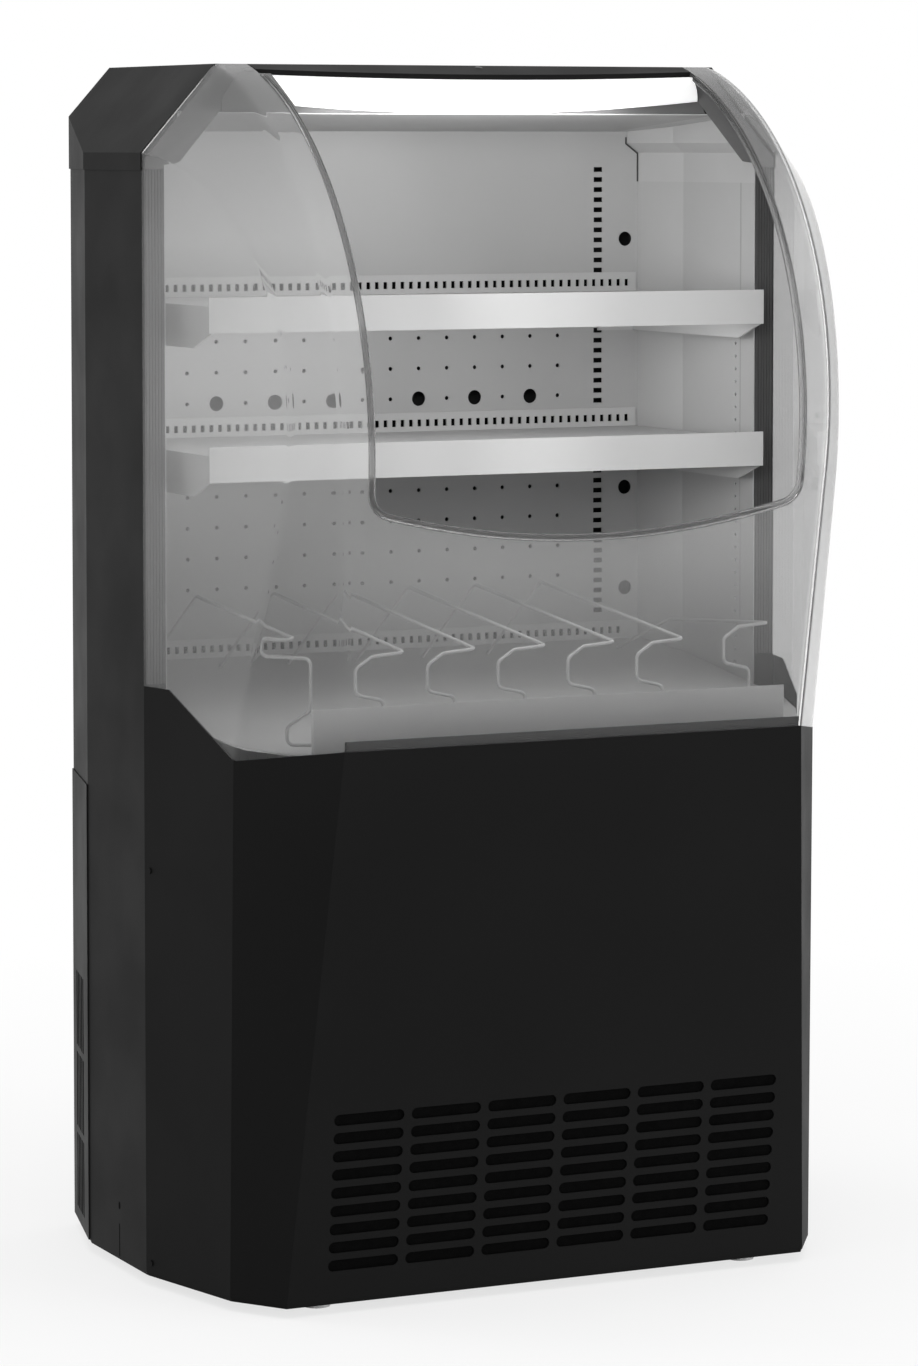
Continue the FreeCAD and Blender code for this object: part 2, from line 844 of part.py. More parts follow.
def top_foam():
    block = hood_block(hood_sheet, 0).common(
        box((-top_half_width, top_half_width), (lamp_back, rear_depth),
            (shoulder_height - hood_sheet, top_height)))
    return block.cut(cavity(liner_sheet, -overrun))


def floor_block(inset, low, high):
    # The whole floor plan, narrowed between the side flanges
    half_width = liner_half_width + liner_sheet + skin - inset
    neck = box((-half_width, half_width), (-2 * overrun, 2 * overrun), (low, high))
    front = front_block(inset, low, high, 0)
    return casing_space(inset, low, high).multiFuse([neck, front]).removeSplitter()


def floor_foam():
    return floor_block(skin, floor_bottom, floor_top)


# Shelves

def rim_slots(half_width, depth, low):
    count = int(2 * half_width / rim_slot_pitch) - 1
    slots = []
    for index in range(count):
        x = (index - (count - 1) / 2) * rim_slot_pitch
        slots.append(box((x - rim_slot_width / 2, x + rim_slot_width / 2), (depth - overrun, depth + overrun),
                         (low, low + rim_slot_height)))
    return slots


shelf_rear = liner_depth - shelf_clearance


shelf_half_width = liner_rear_half_width - shelf_side_clearance


def shelf_plate(height):
    # Rear upstand, plate, front lip and end flanges folded from one sheet
    line = [(shelf_rear, height + shelf_upstand), (shelf_rear, height), (-shelf_front, height)]
    plate = side_prism(sheet_outline(line, -shelf_sheet), shelf_half_width)
    low = height + shelf_rise - shelf_lip
    lip = box((-shelf_half_width, shelf_half_width), (-shelf_front - shelf_sheet, -shelf_front),
              (low, height + shelf_rise))
    flange = box((shelf_half_width - shelf_sheet, shelf_half_width), (-shelf_front, shelf_rear),
                 (low, height + shelf_sheet))
    plate = plate.multiFuse([lip, flange, mirrored(flange)]).removeSplitter()
    return plate.cut(rim_slots(shelf_half_width, shelf_rear, height + rim_slot_rise))


def shelf_bracket(height):
    # Arm inside the end flange and a rear plate with hooks through the wall slots
    low = height - bracket_depth
    outline = [(shelf_rear, height), (-shelf_front, height), (-shelf_front, height + shelf_rise - shelf_lip),
               (bracket_nose - shelf_front, low), (shelf_rear, low)]
    outer = shelf_half_width - shelf_sheet
    face = polygon_face([Vector(outer - bracket_sheet, y, z) for y, z in outline])
    hook_side = (shelf_slot_offset - bracket_sheet / 2, shelf_slot_offset + bracket_sheet / 2)
    pieces = [box((hook_side[0], outer), (shelf_rear - bracket_sheet, shelf_rear), (low, height))]
    first = math.floor((height - shelf_slot_first) / shelf_slot_pitch)
    for index in range(hooks_per_bracket):
        z = shelf_slot_first + (first - index) * shelf_slot_pitch
        pieces.append(box(hook_side, (shelf_rear - bracket_sheet, liner_depth + liner_sheet + hook_reach),
                          (z - hook_height / 2, z + hook_height / 2)))
    return face.extrude(Vector(bracket_sheet, 0, 0)).multiFuse(pieces).removeSplitter()


# Deck

deck_slope = (deck_rear_height - deck_front_height) / (liner_depth + deck_front)


def deck_height(depth):
    return deck_front_height + (depth + deck_front) * deck_slope


def deck():
    rear = liner_depth - shelf_clearance
    front = -deck_front
    line = [(rear, deck_rear_height + deck_upstand), (rear, deck_rear_height), (front, deck_front_height),
            (front, deck_front_height + deck_lip)]
    tray = side_prism(sheet_outline(line, -deck_sheet), casing_half_width)
    side = liner_half_width - deck_side_clearance
    corner = -panel_corner_depth
    corner_x = casing_half_width + (corner - 2 * overrun) * side_slope - 2 * overrun
    outline = [(liner_rear_half_width - deck_side_clearance, liner_depth), (side, side_straight_depth),
               (side, corner / 2), (corner_x, corner), (deck_front_half_width, front - deck_sheet)]
    tray = tray.common(plan_prism(both_sides(outline), floor_top, top_height))
    return tray.cut(rim_slots(liner_rear_half_width - rim_slot_pitch, rear, deck_rear_height + rim_slot_rise))


# Wire dividers

def wire(points):
    # Round wire through the points, each corner an arc
    edges = []
    start = points[0]
    for before, corner, after in zip(points, points[1:], points[2:]):
        inwards = (before - corner).normalize()
        outwards = (after - corner).normalize()
        half_turn = inwards.getAngle(outwards) / 2
        cut = wire_bend / math.tan(half_turn)
        first, last = corner + inwards * cut, corner + outwards * cut
        bisector = (inwards + outwards).normalize()
        middle = corner + bisector * (wire_bend / math.sin(half_turn) - wire_bend)
        edges.append(Part.LineSegment(start, first).toShape())
        edges.append(Part.Arc(first, middle, last).toShape())
        start = last
    edges.append(Part.LineSegment(start, points[-1]).toShape())
    path = Part.Wire(edges)
    section = Part.Wire(Part.makeCircle(wire_radius, points[0], points[1] - points[0]))
    return path.makePipeShell([section], True, False)


wire_front = wire_radius + seat_clearance + deck_sheet - deck_front


def deck_top(depth):
    return deck_height(depth) + deck_sheet * math.hypot(1, deck_slope)


def rear_leg(x, height):
    # Foot on the deck and the rear end of the rail
    apex = Vector(x, wire_rear, height)
    foot = Vector(x - wire_foot_shift, wire_foot_depth, deck_top(wire_foot_depth))
    foot.z += seat_clearance + wire_radius
    return [foot, apex]


def divider(x, front, rear_height, end_height):
    # The front end turns aside, drops and ends in an upright pin
    steps = [(0, 0), (side_step, rail_dip), (hook_step, shoulder_dip), (hook_step, neck_dip),
             (pin_step, pin_dip)]
    points = rear_leg(x, rear_height)
    points += [Vector(x - step, front, wire_front_height - dip) for step, dip in steps]
    points.append(Vector(x - pin_step, front, end_height))
    return wire(points)


def end_divider():
    # The end wire loops outwards past the end of the deck lip, and in again below
    low = deck_top(wire_front) + loop_floor
    lip_end = -deck_front_half_width - 2 * wire_radius
    outer = -end_wire_offset - loop_reach
    tip = wire_front_height + loop_rise
    back = wire_front + loop_depth
    places = [(-end_wire_offset, wire_front, tip), (outer, back, tip), (outer, back, tip - loop_height),
              (lip_end, wire_front, tip - loop_height), (lip_end, wire_front, low + 2 * loop_height),
              (lip_end - loop_step, wire_front + loop_step, low + loop_height),
              (lip_end - loop_step, wire_front + loop_step, low), (lip_end + loop_step, wire_front, low)]
    leg = rear_leg(end_wire_shift - end_wire_offset, wire_rear_height)
    return wire(leg + [Vector(*place) for place in places])


# Base and feet

foot_places = {"front_left": (-1, -foot_front), "front_right": (1, -foot_front),
               "rear_left": (-1, foot_rear), "rear_right": (1, foot_rear)}
base_bottom = casing_bottom - base_drop
base_floor = base_bottom + base_sheet


def base_tray():
    tray = floor_block(skin, base_bottom, casing_bottom + base_wall)
    tray = tray.cut(floor_block(skin + base_sheet, base_floor, casing_bottom + base_wall + overrun))
    for side, y in foot_places.values():
        centre = Vector(side * foot_half_spacing, y, base_bottom)
        tray = tray.fuse(rod(centre, Vector(0, 0, 1), foot_boss_radius, foot_boss_height))
        hole = rod(centre - Vector(0, 0, overrun), Vector(0, 0, 1), foot_stud_radius + running_clearance,
                   foot_boss_height + 2 * overrun)
        tray = tray.cut(hole)
    return tray


def foot(side, y):
    centre = Vector(side * foot_half_spacing, y, 0)
    height = base_bottom - seat_clearance
    pad = rod(centre, Vector(0, 0, 1), foot_pad_radius, height)
    stud = rod(centre, Vector(0, 0, 1), foot_stud_radius, height + foot_stud_length)
    return pad.fuse(stud).removeSplitter()


# Machinery

def fin_block(x_range, y_range, z_range):
    # Upright fins on a bank of tubes that run across
    fins = []
    count = int((x_range[1] - x_range[0]) / fin_pitch) + 1
    for index in range(count):
        x = x_range[0] + index * fin_pitch
        fins.append(box((x, x + fin_sheet), y_range, z_range))
    rows = int((z_range[1] - z_range[0]) / tube_pitch)
    length = (count - 1) * fin_pitch + fin_sheet + 2 * tube_overhang
    tubes = []
    for row in range(rows):
        level = z_range[0] + (row + tube_row_share) * tube_pitch
        centre = Vector(x_range[0] - tube_overhang, sum(y_range) / 2, level)
        tubes.append(rod(centre, Vector(1, 0, 0), tube_radius, length))
    return fins[0].multiFuse(fins[1:] + tubes).removeSplitter()


def condenser():
    return fin_block((condenser_left, condenser_left + condenser_width),
                     (condenser_front, condenser_front + condenser_depth),
                     (base_floor, base_floor + condenser_height))


def evaporator():
    return fin_block((-evaporator_half_width, evaporator_half_width),
                     (evaporator_front, evaporator_front + evaporator_depth),
                     (floor_top, floor_top + evaporator_height))


def compressor():
    centre = Vector(compressor_x, compressor_y, base_floor + compressor_leg)
    can = rod(centre, Vector(0, 0, 1), compressor_radius, compressor_height)
    rims = [edge for edge in can.Edges if len(edge.Vertexes) == 1]
    can = can.makeFillet(compressor_radius * dome_share, rims)
    plate = box((compressor_x - compressor_radius, compressor_x + compressor_radius),
                (compressor_y - compressor_radius, compressor_y + compressor_radius),
                (centre.z, centre.z + base_sheet))
    legs = []
    for side_x in (-1, 1):
        for side_y in (-1, 1):
            place = Vector(compressor_x + side_x * compressor_radius * leg_share,
                           compressor_y + side_y * compressor_radius * leg_share, base_floor)
            legs.append(rod(place, Vector(0, 0, 1), compressor_leg_radius, compressor_leg))
    return can.multiFuse([plate] + legs).removeSplitter()


def fan_wheel(centre, radius, hub_radius, shaft_radius, depth):
    # Hub and pitched blades that turn about a shaft along Y
    hub = rod(centre, Vector(0, 1, 0), hub_radius, depth)
    wheel = hub
    for index in range(blade_count):
        blade = box((0, radius), (-blade_sheet / 2, blade_sheet / 2), (-hub_radius, hub_radius))
        blade.rotate(Vector(0, 0, 0), Vector(1, 0, 0), blade_angle)
        blade.rotate(Vector(0, 0, 0), Vector(0, 1, 0), index * 360 / blade_count)
        blade.translate(centre + Vector(0, depth / 2, 0))
        wheel = wheel.fuse(blade)
    rim = rod(centre, Vector(0, 1, 0), radius, depth)
    bore = rod(centre - Vector(0, overrun, 0), Vector(0, 1, 0), shaft_radius + running_clearance,
               depth + 2 * overrun)
    return wheel.common(rim).cut(bore)


fan_level = base_floor + condenser_height / 2
fan_middle = condenser_left + condenser_width / 2
shroud_front = condenser_front + condenser_depth
fan_front = shroud_front + shroud_sheet + fan_clearance


def fan_shroud():
    plate = box((condenser_left, condenser_left + condenser_width),
                (shroud_front, shroud_front + shroud_sheet),
                (base_floor, base_floor + condenser_height))
    hole = rod(Vector(fan_middle, shroud_front - overrun, fan_level), Vector(0, 1, 0),
               fan_radius + fan_clearance, shroud_sheet + 2 * overrun)
    return plate.cut(hole)


def condenser_fan():
    centre = Vector(fan_middle, fan_front, fan_level)
    return fan_wheel(centre, fan_radius, fan_hub_radius, shaft_radius, fan_depth)


def condenser_motor():
    # Motor can on a foot bracket, its shaft through the fan hub
    rear = fan_front + fan_depth + fan_clearance
    can = rod(Vector(fan_middle, rear, fan_level), Vector(0, 1, 0), motor_radius, motor_length)
    shaft = rod(Vector(fan_middle, fan_front, fan_level), Vector(0, 1, 0), shaft_radius, rear - fan_front)
    post = box((fan_middle - motor_radius / 2, fan_middle + motor_radius / 2), (rear, rear + motor_length),
               (base_floor, fan_level))
    return can.multiFuse([shaft, post]).removeSplitter()


def evaporator_fan(side):
    centre = Vector(side * small_fan_offset, small_fan_front + shroud_sheet + fan_clearance, small_fan_level)
    return fan_wheel(centre, small_fan_radius, small_hub_radius, small_shaft_radius, small_fan_depth)


def evaporator_fan_frame():
    frame = box((-evaporator_half_width, evaporator_half_width),
                (small_fan_front, small_fan_front + shroud_sheet),
                (floor_top, floor_top + small_frame_height))
    for side in (-1, 1):
        centre = Vector(side * small_fan_offset, small_fan_front - overrun, small_fan_level)
        hole = rod(centre, Vector(0, 1, 0), small_fan_radius + fan_clearance, shroud_sheet + 2 * overrun)
        frame = frame.cut(hole)
    return frame


def evaporator_motors():
    motors = []
    fan_face = small_fan_front + shroud_sheet + fan_clearance
    rear = fan_face + small_fan_depth + fan_clearance
    for side in (-1, 1):
        middle = side * small_fan_offset
        can = rod(Vector(middle, rear, small_fan_level), Vector(0, 1, 0), small_motor_radius,
                  small_motor_length)
        shaft = rod(Vector(middle, fan_face, small_fan_level), Vector(0, 1, 0), small_shaft_radius,
                    rear - fan_face)
        post = box((middle - small_hub_radius / 2, middle + small_hub_radius / 2),
                   (rear, rear + small_motor_length), (floor_top, small_fan_level))
        motors.append(can.multiFuse([shaft, post]).removeSplitter())
    return Part.makeCompound(motors)


def drip_tray():
    outer = box((tray_left, tray_left + tray_width), (tray_front, tray_front + tray_depth),
                (base_floor, base_floor + tray_height))
    inner = box((tray_left + skin, tray_left + tray_width - skin),
                (tray_front + skin, tray_front + tray_depth - skin),
                (base_floor + skin, base_floor + tray_height + overrun))
    return outer.cut(inner)


# Controls, inlet and screws

control_face = rear_depth - control_recess
control_middle = control_low + control_height / 2
knob_x = control_left + control_width * knob_share
switch_x = control_left + control_width * switch_share
rocker_axis = Vector(switch_x, control_face - rocker_sink, control_middle)
inlet_centre = Vector(inlet_x, rear_depth, inlet_height)


def control_window():
    return box((control_left, control_left + control_width), (control_face, rear_depth + overrun),
               (control_low, control_low + control_height))


def inlet_hole():
    return rod(inlet_centre - Vector(0, overrun, 0), Vector(0, 1, 0), inlet_radius, 2 * overrun)


def control_box():
    body = box((control_left - control_margin, control_left + control_width + control_margin),
               (rear_depth - control_depth, rear_depth),
               (control_low - control_margin, control_low + control_height + control_margin))
    pivot_half = rocker_width / 2 + seat_clearance
    pocket = rod(rocker_axis - Vector(pivot_half, 0, 0), Vector(1, 0, 0), rocker_radius + running_clearance,
                 2 * pivot_half)
    body = body.cut([control_window(), pocket])
    shaft = rod(Vector(knob_x, control_face, control_middle), Vector(0, 1, 0), knob_shaft_radius,
                control_recess - 2 * pointer_height)
    return body.fuse(shaft)


def thermostat_knob():
    low = control_face + seat_clearance
    centre = Vector(knob_x, low, control_middle)
    length = control_recess - 2 * pointer_height
    knob = rod(centre, Vector(0, 1, 0), knob_radius, length)
    pointer = box((knob_x - pointer_width / 2, knob_x + pointer_width / 2),
                  (low + length, low + length + pointer_height),
                  (control_middle, control_middle + knob_radius))
    bore = rod(centre, Vector(0, 1, 0), knob_shaft_radius + running_clearance, length - seat_clearance)
    return knob.fuse(pointer).cut(bore)


def power_switch():
    barrel = rod(rocker_axis - Vector(rocker_width / 2, 0, 0), Vector(1, 0, 0), rocker_radius, rocker_width)
    top = control_face - rocker_sink + rocker_radius
    paddle = box((switch_x - rocker_width / 2, switch_x + rocker_width / 2), (top - rocker_paddle, top),
                 (control_middle - rocker_height / 2, control_middle + rocker_height / 2))
    rocker = barrel.fuse(paddle).removeSplitter()
    rocker.rotate(rocker_axis, Vector(1, 0, 0), -rocker_tilt)
    return rocker


def mains_inlet():
    start = inlet_centre - Vector(0, inlet_length, 0)
    body = rod(start, Vector(0, 1, 0), inlet_radius, inlet_length + rear_cover_sheet)
    seat = inlet_centre + Vector(0, rear_cover_sheet, 0)
    flange = rod(seat, Vector(0, 1, 0), inlet_radius + inlet_flange, screw_head)
    bore = rod(start - Vector(0, overrun, 0), Vector(0, 1, 0), inlet_bore, inlet_length + 2 * overrun)
    return body.fuse(flange).removeSplitter().cut(bore)


def panel_screws():
    heads = []
    run = Vector(-math.sin(math.radians(side_facet_angle)), -math.cos(math.radians(side_facet_angle)), 0)
    for height in side_screw_heights:
        place = Vector(casing_half_width, 0, height) + run * side_screw_run
        head = rod(place, side_normal, screw_radius, screw_head)
        heads += [head, mirrored(head)]
    for height in cover_screw_heights:
        for side in (-1, 1):
            place = Vector(side * cover_screw_offset, rear_depth + rear_cover_sheet, height)
            heads.append(rod(place, Vector(0, 1, 0), screw_radius, screw_head))
    return Part.makeCompound(heads)


def export_all():
    os.makedirs("parts", exist_ok=True)
    export_pair("side_panel", side_panel())
    export_pair("liner_side", liner_side())
    export_pair("corner_moulding", corner_moulding())
    export_pair("insulation_side", side_foam())
    single = {"back_panel": back_panel, "rear_cover": rear_cover, "top_hood": top_hood,
              "front_panel": front_panel, "air_filter": air_filter,
              "visor": visor, "visor_trim": visor_trim, "canopy_fascia": canopy_fascia,
              "light_diffuser": light_diffuser, "light_housing": light_housing, "led_board": led_board,
              "liner_back": liner_back, "liner_ceiling": liner_ceiling, "insulation_back": back_foam,
              "insulation_top": top_foam, "insulation_floor": floor_foam, "deck": deck,
              "base_tray": base_tray,
              "condenser": condenser, "evaporator": evaporator, "compressor": compressor,
              "fan_shroud": fan_shroud, "condenser_fan": condenser_fan,
              "condenser_fan_motor": condenser_motor,
              "evaporator_fan_frame": evaporator_fan_frame, "evaporator_fan_motors": evaporator_motors,
              "drip_tray": drip_tray, "control_box": control_box, "thermostat_knob": thermostat_knob,
              "power_switch": power_switch, "mains_inlet": mains_inlet, "panel_screws": panel_screws}
    for name, maker in single.items():
        export(name, maker())
    export("evaporator_fan_left", evaporator_fan(-1))
    export("evaporator_fan_right", evaporator_fan(1))
    for name, height in (("upper", upper_shelf_height), ("lower", lower_shelf_height)):
        export("shelf_" + name, shelf_plate(height))
        bracket = shelf_bracket(height)
        export("shelf_bracket_" + name + "_right", bracket)
        export("shelf_bracket_" + name + "_left", mirrored(bracket))
    export("divider_1", end_divider())
    for index in range(wire_count):
        inner = divider(wire_first + index * wire_pitch, wire_front, wire_rear_height, pin_height)
        export("divider_" + str(index + 2), inner)
    end_height = deck_top(-last_wire_front) + seat_clearance
    last = divider(last_wire_offset, -last_wire_front, wire_rear_height - last_wire_drop, end_height)
    export("divider_" + str(wire_count + 2), last)
    for name, (side, y) in foot_places.items():
        export("foot_" + name, foot(side, y))


export_all()
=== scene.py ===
import json
import math

import bmesh
import bpy
from mathutils import Matrix, Vector


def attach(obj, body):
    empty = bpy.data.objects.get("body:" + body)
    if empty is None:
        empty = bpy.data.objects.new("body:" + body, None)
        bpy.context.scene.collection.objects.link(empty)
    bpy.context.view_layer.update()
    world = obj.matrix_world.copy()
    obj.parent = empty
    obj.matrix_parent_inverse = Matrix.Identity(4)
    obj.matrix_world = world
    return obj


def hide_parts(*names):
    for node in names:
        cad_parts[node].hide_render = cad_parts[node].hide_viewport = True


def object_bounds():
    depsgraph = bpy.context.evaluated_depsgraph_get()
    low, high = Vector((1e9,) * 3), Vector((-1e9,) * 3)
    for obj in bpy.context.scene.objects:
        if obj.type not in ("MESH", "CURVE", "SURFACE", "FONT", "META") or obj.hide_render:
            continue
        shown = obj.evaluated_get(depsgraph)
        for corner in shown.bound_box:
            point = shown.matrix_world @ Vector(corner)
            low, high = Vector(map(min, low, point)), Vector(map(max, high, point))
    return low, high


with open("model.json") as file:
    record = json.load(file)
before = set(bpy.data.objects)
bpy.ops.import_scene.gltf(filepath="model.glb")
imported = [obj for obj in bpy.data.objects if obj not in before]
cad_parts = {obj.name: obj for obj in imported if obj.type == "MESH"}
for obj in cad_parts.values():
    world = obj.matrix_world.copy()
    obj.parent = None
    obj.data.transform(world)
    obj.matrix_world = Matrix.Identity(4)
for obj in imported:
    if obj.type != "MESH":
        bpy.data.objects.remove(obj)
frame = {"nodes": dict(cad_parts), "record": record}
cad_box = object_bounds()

nodes = frame["nodes"]
scene = bpy.context.scene


# Materials

def linear(level):
    """The linear value of an sRGB level from 0 to 255."""
    value = level / 255
    return value / 12.92 if value <= 0.04045 else ((value + 0.055) / 1.055) ** 2.4


def grey(level):
    return (linear(level),) * 3 + (1.0,)


class Finish:
    """A node material: one Principled shader, fed by textures in the object's own coordinates."""

    def __init__(self, name, **sockets):
        self.material = bpy.data.materials.new(name)
        self.material.use_nodes = True
        self.tree = self.material.node_tree
        self.shader = self.tree.nodes["Principled BSDF"]
        for socket, value in sockets.items():
            self.shader.inputs[socket.replace("_", " ")].default_value = value
        self.place = self.tree.nodes.new("ShaderNodeTexCoord").outputs["Object"]
        self.last_normal = None

    def node(self, kind, **settings):
        made = self.tree.nodes.new(kind)
        for key, value in settings.items():
            setattr(made, key, value)
        return made

    def link(self, source, target):
        self.tree.links.new(source, target)

    def feed(self, source, socket):
        self.link(source, self.shader.inputs[socket])

    def stretched(self, scale):
        mapping = self.node("ShaderNodeMapping")
        mapping.inputs["Scale"].default_value = scale
        self.link(self.place, mapping.inputs["Vector"])
        return mapping.outputs["Vector"]

    def noise(self, scale, detail=2.0, stretch=(1.0, 1.0, 1.0)):
        texture = self.node("ShaderNodeTexNoise")
        texture.inputs["Scale"].default_value = scale
        texture.inputs["Detail"].default_value = detail
        self.link(self.stretched(stretch), texture.inputs["Vector"])
        return texture.outputs["Fac"]

    def cells(self, scale):
        texture = self.node("ShaderNodeTexVoronoi")
        texture.inputs["Scale"].default_value = scale
        self.link(self.place, texture.inputs["Vector"])
        return texture.outputs["Color"]

    def spread(self, value, low, high, start=0.3, end=0.7):
        """The value's range from start to end, mapped to low to high."""
        ranged = self.node("ShaderNodeMapRange")
        limits = {"From Min": start, "From Max": end, "To Min": low, "To Max": high}
        for name, number in limits.items():
            ranged.inputs[name].default_value = number
        self.link(value, ranged.inputs["Value"])
        return ranged.outputs["Result"]

    def ramp(self, value, stops):
        made = self.node("ShaderNodeValToRGB")
        for element, (position, colour) in zip(made.color_ramp.elements, stops):
            element.position = position
            element.color = colour
        self.link(value, made.inputs["Fac"])
        return made.outputs["Color"]

    def colours(self, value, stops):
        self.feed(self.ramp(value, stops), "Base Color")

    def roughness(self, value, low, high):
        self.feed(self.spread(value, low, high), "Roughness")

    def bump(self, value, strength, distance):
        """One more layer of bump, on top of those made before."""
        made = self.node("ShaderNodeBump")
        made.inputs["Strength"].default_value = strength
        made.inputs["Distance"].default_value = distance
        self.link(value, made.inputs["Height"])
        if self.last_normal is not None:
            self.link(self.last_normal, made.inputs["Normal"])
        self.last_normal = made.outputs["Normal"]
        self.feed(self.last_normal, "Normal")


def powder_coat(name, low, high, rough, specular, grain=1500.0, depth=0.00012):
    """Painted steel: faint clouds, uneven sheen, and orange peel in two sizes."""
    finish = Finish(name, Specular_IOR_Level=specular)
    finish.colours(finish.noise(2.2, detail=5.0), [(0.35, low), (0.65, high)])
    finish.roughness(finish.noise(9.0, detail=4.0), rough - 0.05, rough + 0.05)
    finish.bump(finish.noise(grain), strength=0.25, distance=depth)
    finish.bump(finish.noise(grain / 9, detail=1.0), strength=0.1, distance=depth)
    return finish.material


def moulded(name, low, high, rough):
    """Moulded plastic with a fine grain."""
    finish = Finish(name, Specular_IOR_Level=0.4)
    finish.colours(finish.noise(6.0, detail=3.0), [(0.3, low), (0.7, high)])
    finish.roughness(finish.noise(30.0, detail=3.0), rough - 0.06, rough + 0.06)
    finish.bump(finish.noise(700.0, detail=1.0), strength=0.15, distance=0.0001)
    return finish.material


def bare_metal(name, low, high, rough, stretch=(1.0, 1.0, 1.0), spangle=None):
    """Unpainted metal, brushed along the stretch or with zinc spangles."""
    grain = 60.0
    finish = Finish(name, Metallic=1.0)
    if spangle:
        finish.colours(finish.cells(spangle), [(0.1, low), (0.9, high)])
    else:
        finish.colours(finish.noise(grain, 4.0, stretch), [(0.3, low), (0.7, high)])
    finish.roughness(finish.noise(grain, 3.0, stretch), rough - 0.08, rough + 0.08)
    finish.bump(finish.noise(grain * 5, 2.0, stretch), strength=0.12, distance=0.0001)
    return finish.material


def clear_sheet(name, tint, edge_tint, low, high, haze):
    """Clear plastic: darker at grazing angles, greyer near the top, hazier above its lower edge."""
    top_grey_start, top_grey_end, top_grey_least = 1.2, 1.36, 0.72
    haze_start, haze_end = 0.64, 0.84
    finish = Finish(name, IOR=1.47, Specular_Tint=grey(112))
    edge = finish.node("ShaderNodeLayerWeight")
    edge.inputs["Blend"].default_value = 0.5
    sheet = finish.ramp(edge.outputs["Facing"], [(0.45, grey(tint)), (0.82, grey(edge_tint))])
    parts = finish.node("ShaderNodeSeparateXYZ")
    finish.link(finish.place, parts.inputs["Vector"])
    height = parts.outputs["Z"]
    # Scale the sheet's colour down towards the top, so the visor is greyer there.
    top_greyed = finish.node("ShaderNodeVectorMath", operation="SCALE")
    finish.link(sheet, top_greyed.inputs[0])
    finish.link(finish.spread(height, 1.0, top_grey_least, top_grey_start, top_grey_end),
                top_greyed.inputs["Scale"])
    finish.feed(top_greyed.outputs["Vector"], "Base Color")
    clear = finish.spread(height, 1.0 - haze / 3, 1.0 - haze, haze_start, haze_end)
    finish.feed(clear, "Transmission Weight")
    finish.roughness(finish.noise(14.0, detail=4.0), low, high)
    finish.bump(finish.noise(5.0, detail=1.0), strength=0.03, distance=0.002)
    return finish.material


def lit_diffuser(name):
    """The lamp's opal cover, which glows unevenly."""
    finish = Finish(name, Roughness=0.5, Emission_Strength=0.45)
    finish.colours(finish.noise(8.0), [(0.3, grey(240)), (0.7, grey(248))])
    glow = finish.noise(11.0, 1.0, (1.0, 1.0, 4.0))
    finish.feed(finish.ramp(glow, [(0.0, grey(236)), (1.0, grey(255))]), "Emission Color")
    finish.bump(finish.noise(420.0, detail=1.0), strength=0.1, distance=0.0001)
    return finish.material


def foam(name):
    finish = Finish(name, Specular_IOR_Level=0.1)
    finish.colours(finish.noise(40.0, detail=4.0), [(0.3, grey(40)), (0.7, grey(50))])
    finish.roughness(finish.noise(60.0, detail=3.0), 0.8, 0.95)
    finish.bump(finish.noise(260.0, detail=3.0), strength=0.5, distance=0.0008)
    return finish.material


def filter_fleece_and_painted_shade(name):
    """Black filter fleece, also used as painted shade in gaps, in openings and behind louvres."""
    finish = Finish(name, Specular_IOR_Level=0.05)
    finish.colours(finish.noise(180.0, detail=3.0), [(0.3, grey(3)), (0.7, grey(6))])
    finish.roughness(finish.noise(90.0), 0.85, 0.95)
    finish.bump(finish.noise(500.0), strength=0.6, distance=0.001)
    return finish.material


along_x, along_z = (1.0, 30.0, 30.0), (1.0, 1.0, 12.0)
smooth_paint = {"grain": 900.0, "depth": 0.00006}

finishes = {
    "black_steel": powder_coat("black_steel", grey(20), grey(23), 0.5, 0.045),
    "liner_grey": powder_coat("liner_grey", grey(172), grey(178), 0.5, 0.3, **smooth_paint),
    "moulding_white": moulded("moulding_white", grey(178), grey(186), 0.4),
    "shelf_grey": powder_coat("shelf_grey", grey(186), grey(192), 0.45, 0.35, **smooth_paint),
    "wire_grey": moulded("wire_grey", grey(168), grey(178), 0.35),
    "foot_plastic": moulded("foot_plastic", grey(206), grey(214), 0.45),
    "clear_visor": clear_sheet("clear_visor", 247, 150, 0.015, 0.035, haze=0.085),
    "clear_trim": clear_sheet("clear_trim", 186, 104, 0.08, 0.16, haze=0.06),
    "diffuser_white": lit_diffuser("diffuser_white"),
    "lamp_aluminium": bare_metal("lamp_aluminium", grey(182), grey(200), 0.35, along_x),
    "led_board": moulded("led_board", grey(222), grey(232), 0.35),
    "foam": foam("foam"),
    "zinc_steel": bare_metal("zinc_steel", grey(168), grey(196), 0.42, spangle=90.0),
    "fins": bare_metal("fins", grey(176), grey(196), 0.38, along_z),
    "compressor_black": powder_coat("compressor_black", grey(18), grey(24), 0.3, 0.5, grain=500.0),
    "motor_grey": powder_coat("motor_grey", grey(96), grey(106), 0.45, 0.4),
    "fan_plastic": moulded("fan_plastic", grey(36), grey(44), 0.5),
    "tray_plastic": moulded("tray_plastic", grey(150), grey(160), 0.45),
    "control_plastic": moulded("control_plastic", grey(62), grey(70), 0.5),
    "knob_plastic": moulded("knob_plastic", grey(24), grey(30), 0.4),
    "filter_black": filter_fleece_and_painted_shade("filter_black"),
}


def dress(item, slot):
    item.data.materials.clear()
    item.data.materials.append(finishes[slot])


for part in frame["record"]["subparts"]:
    dress(nodes[part["node"]], part["material_slot"])


# Pieces, in millimetres until they become meshes

SIDES = ((-1, "left"), (1, "right"))
MERGE_DISTANCE = 0.00002                        # metres


def piece(name, mesh, slot, stands_for=(), body="cabinet"):
    made = bpy.data.objects.new(name, mesh)
    scene.collection.objects.link(made)
    dress(made, slot)
    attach(made, body)
    if stands_for:
        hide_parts(*stands_for)


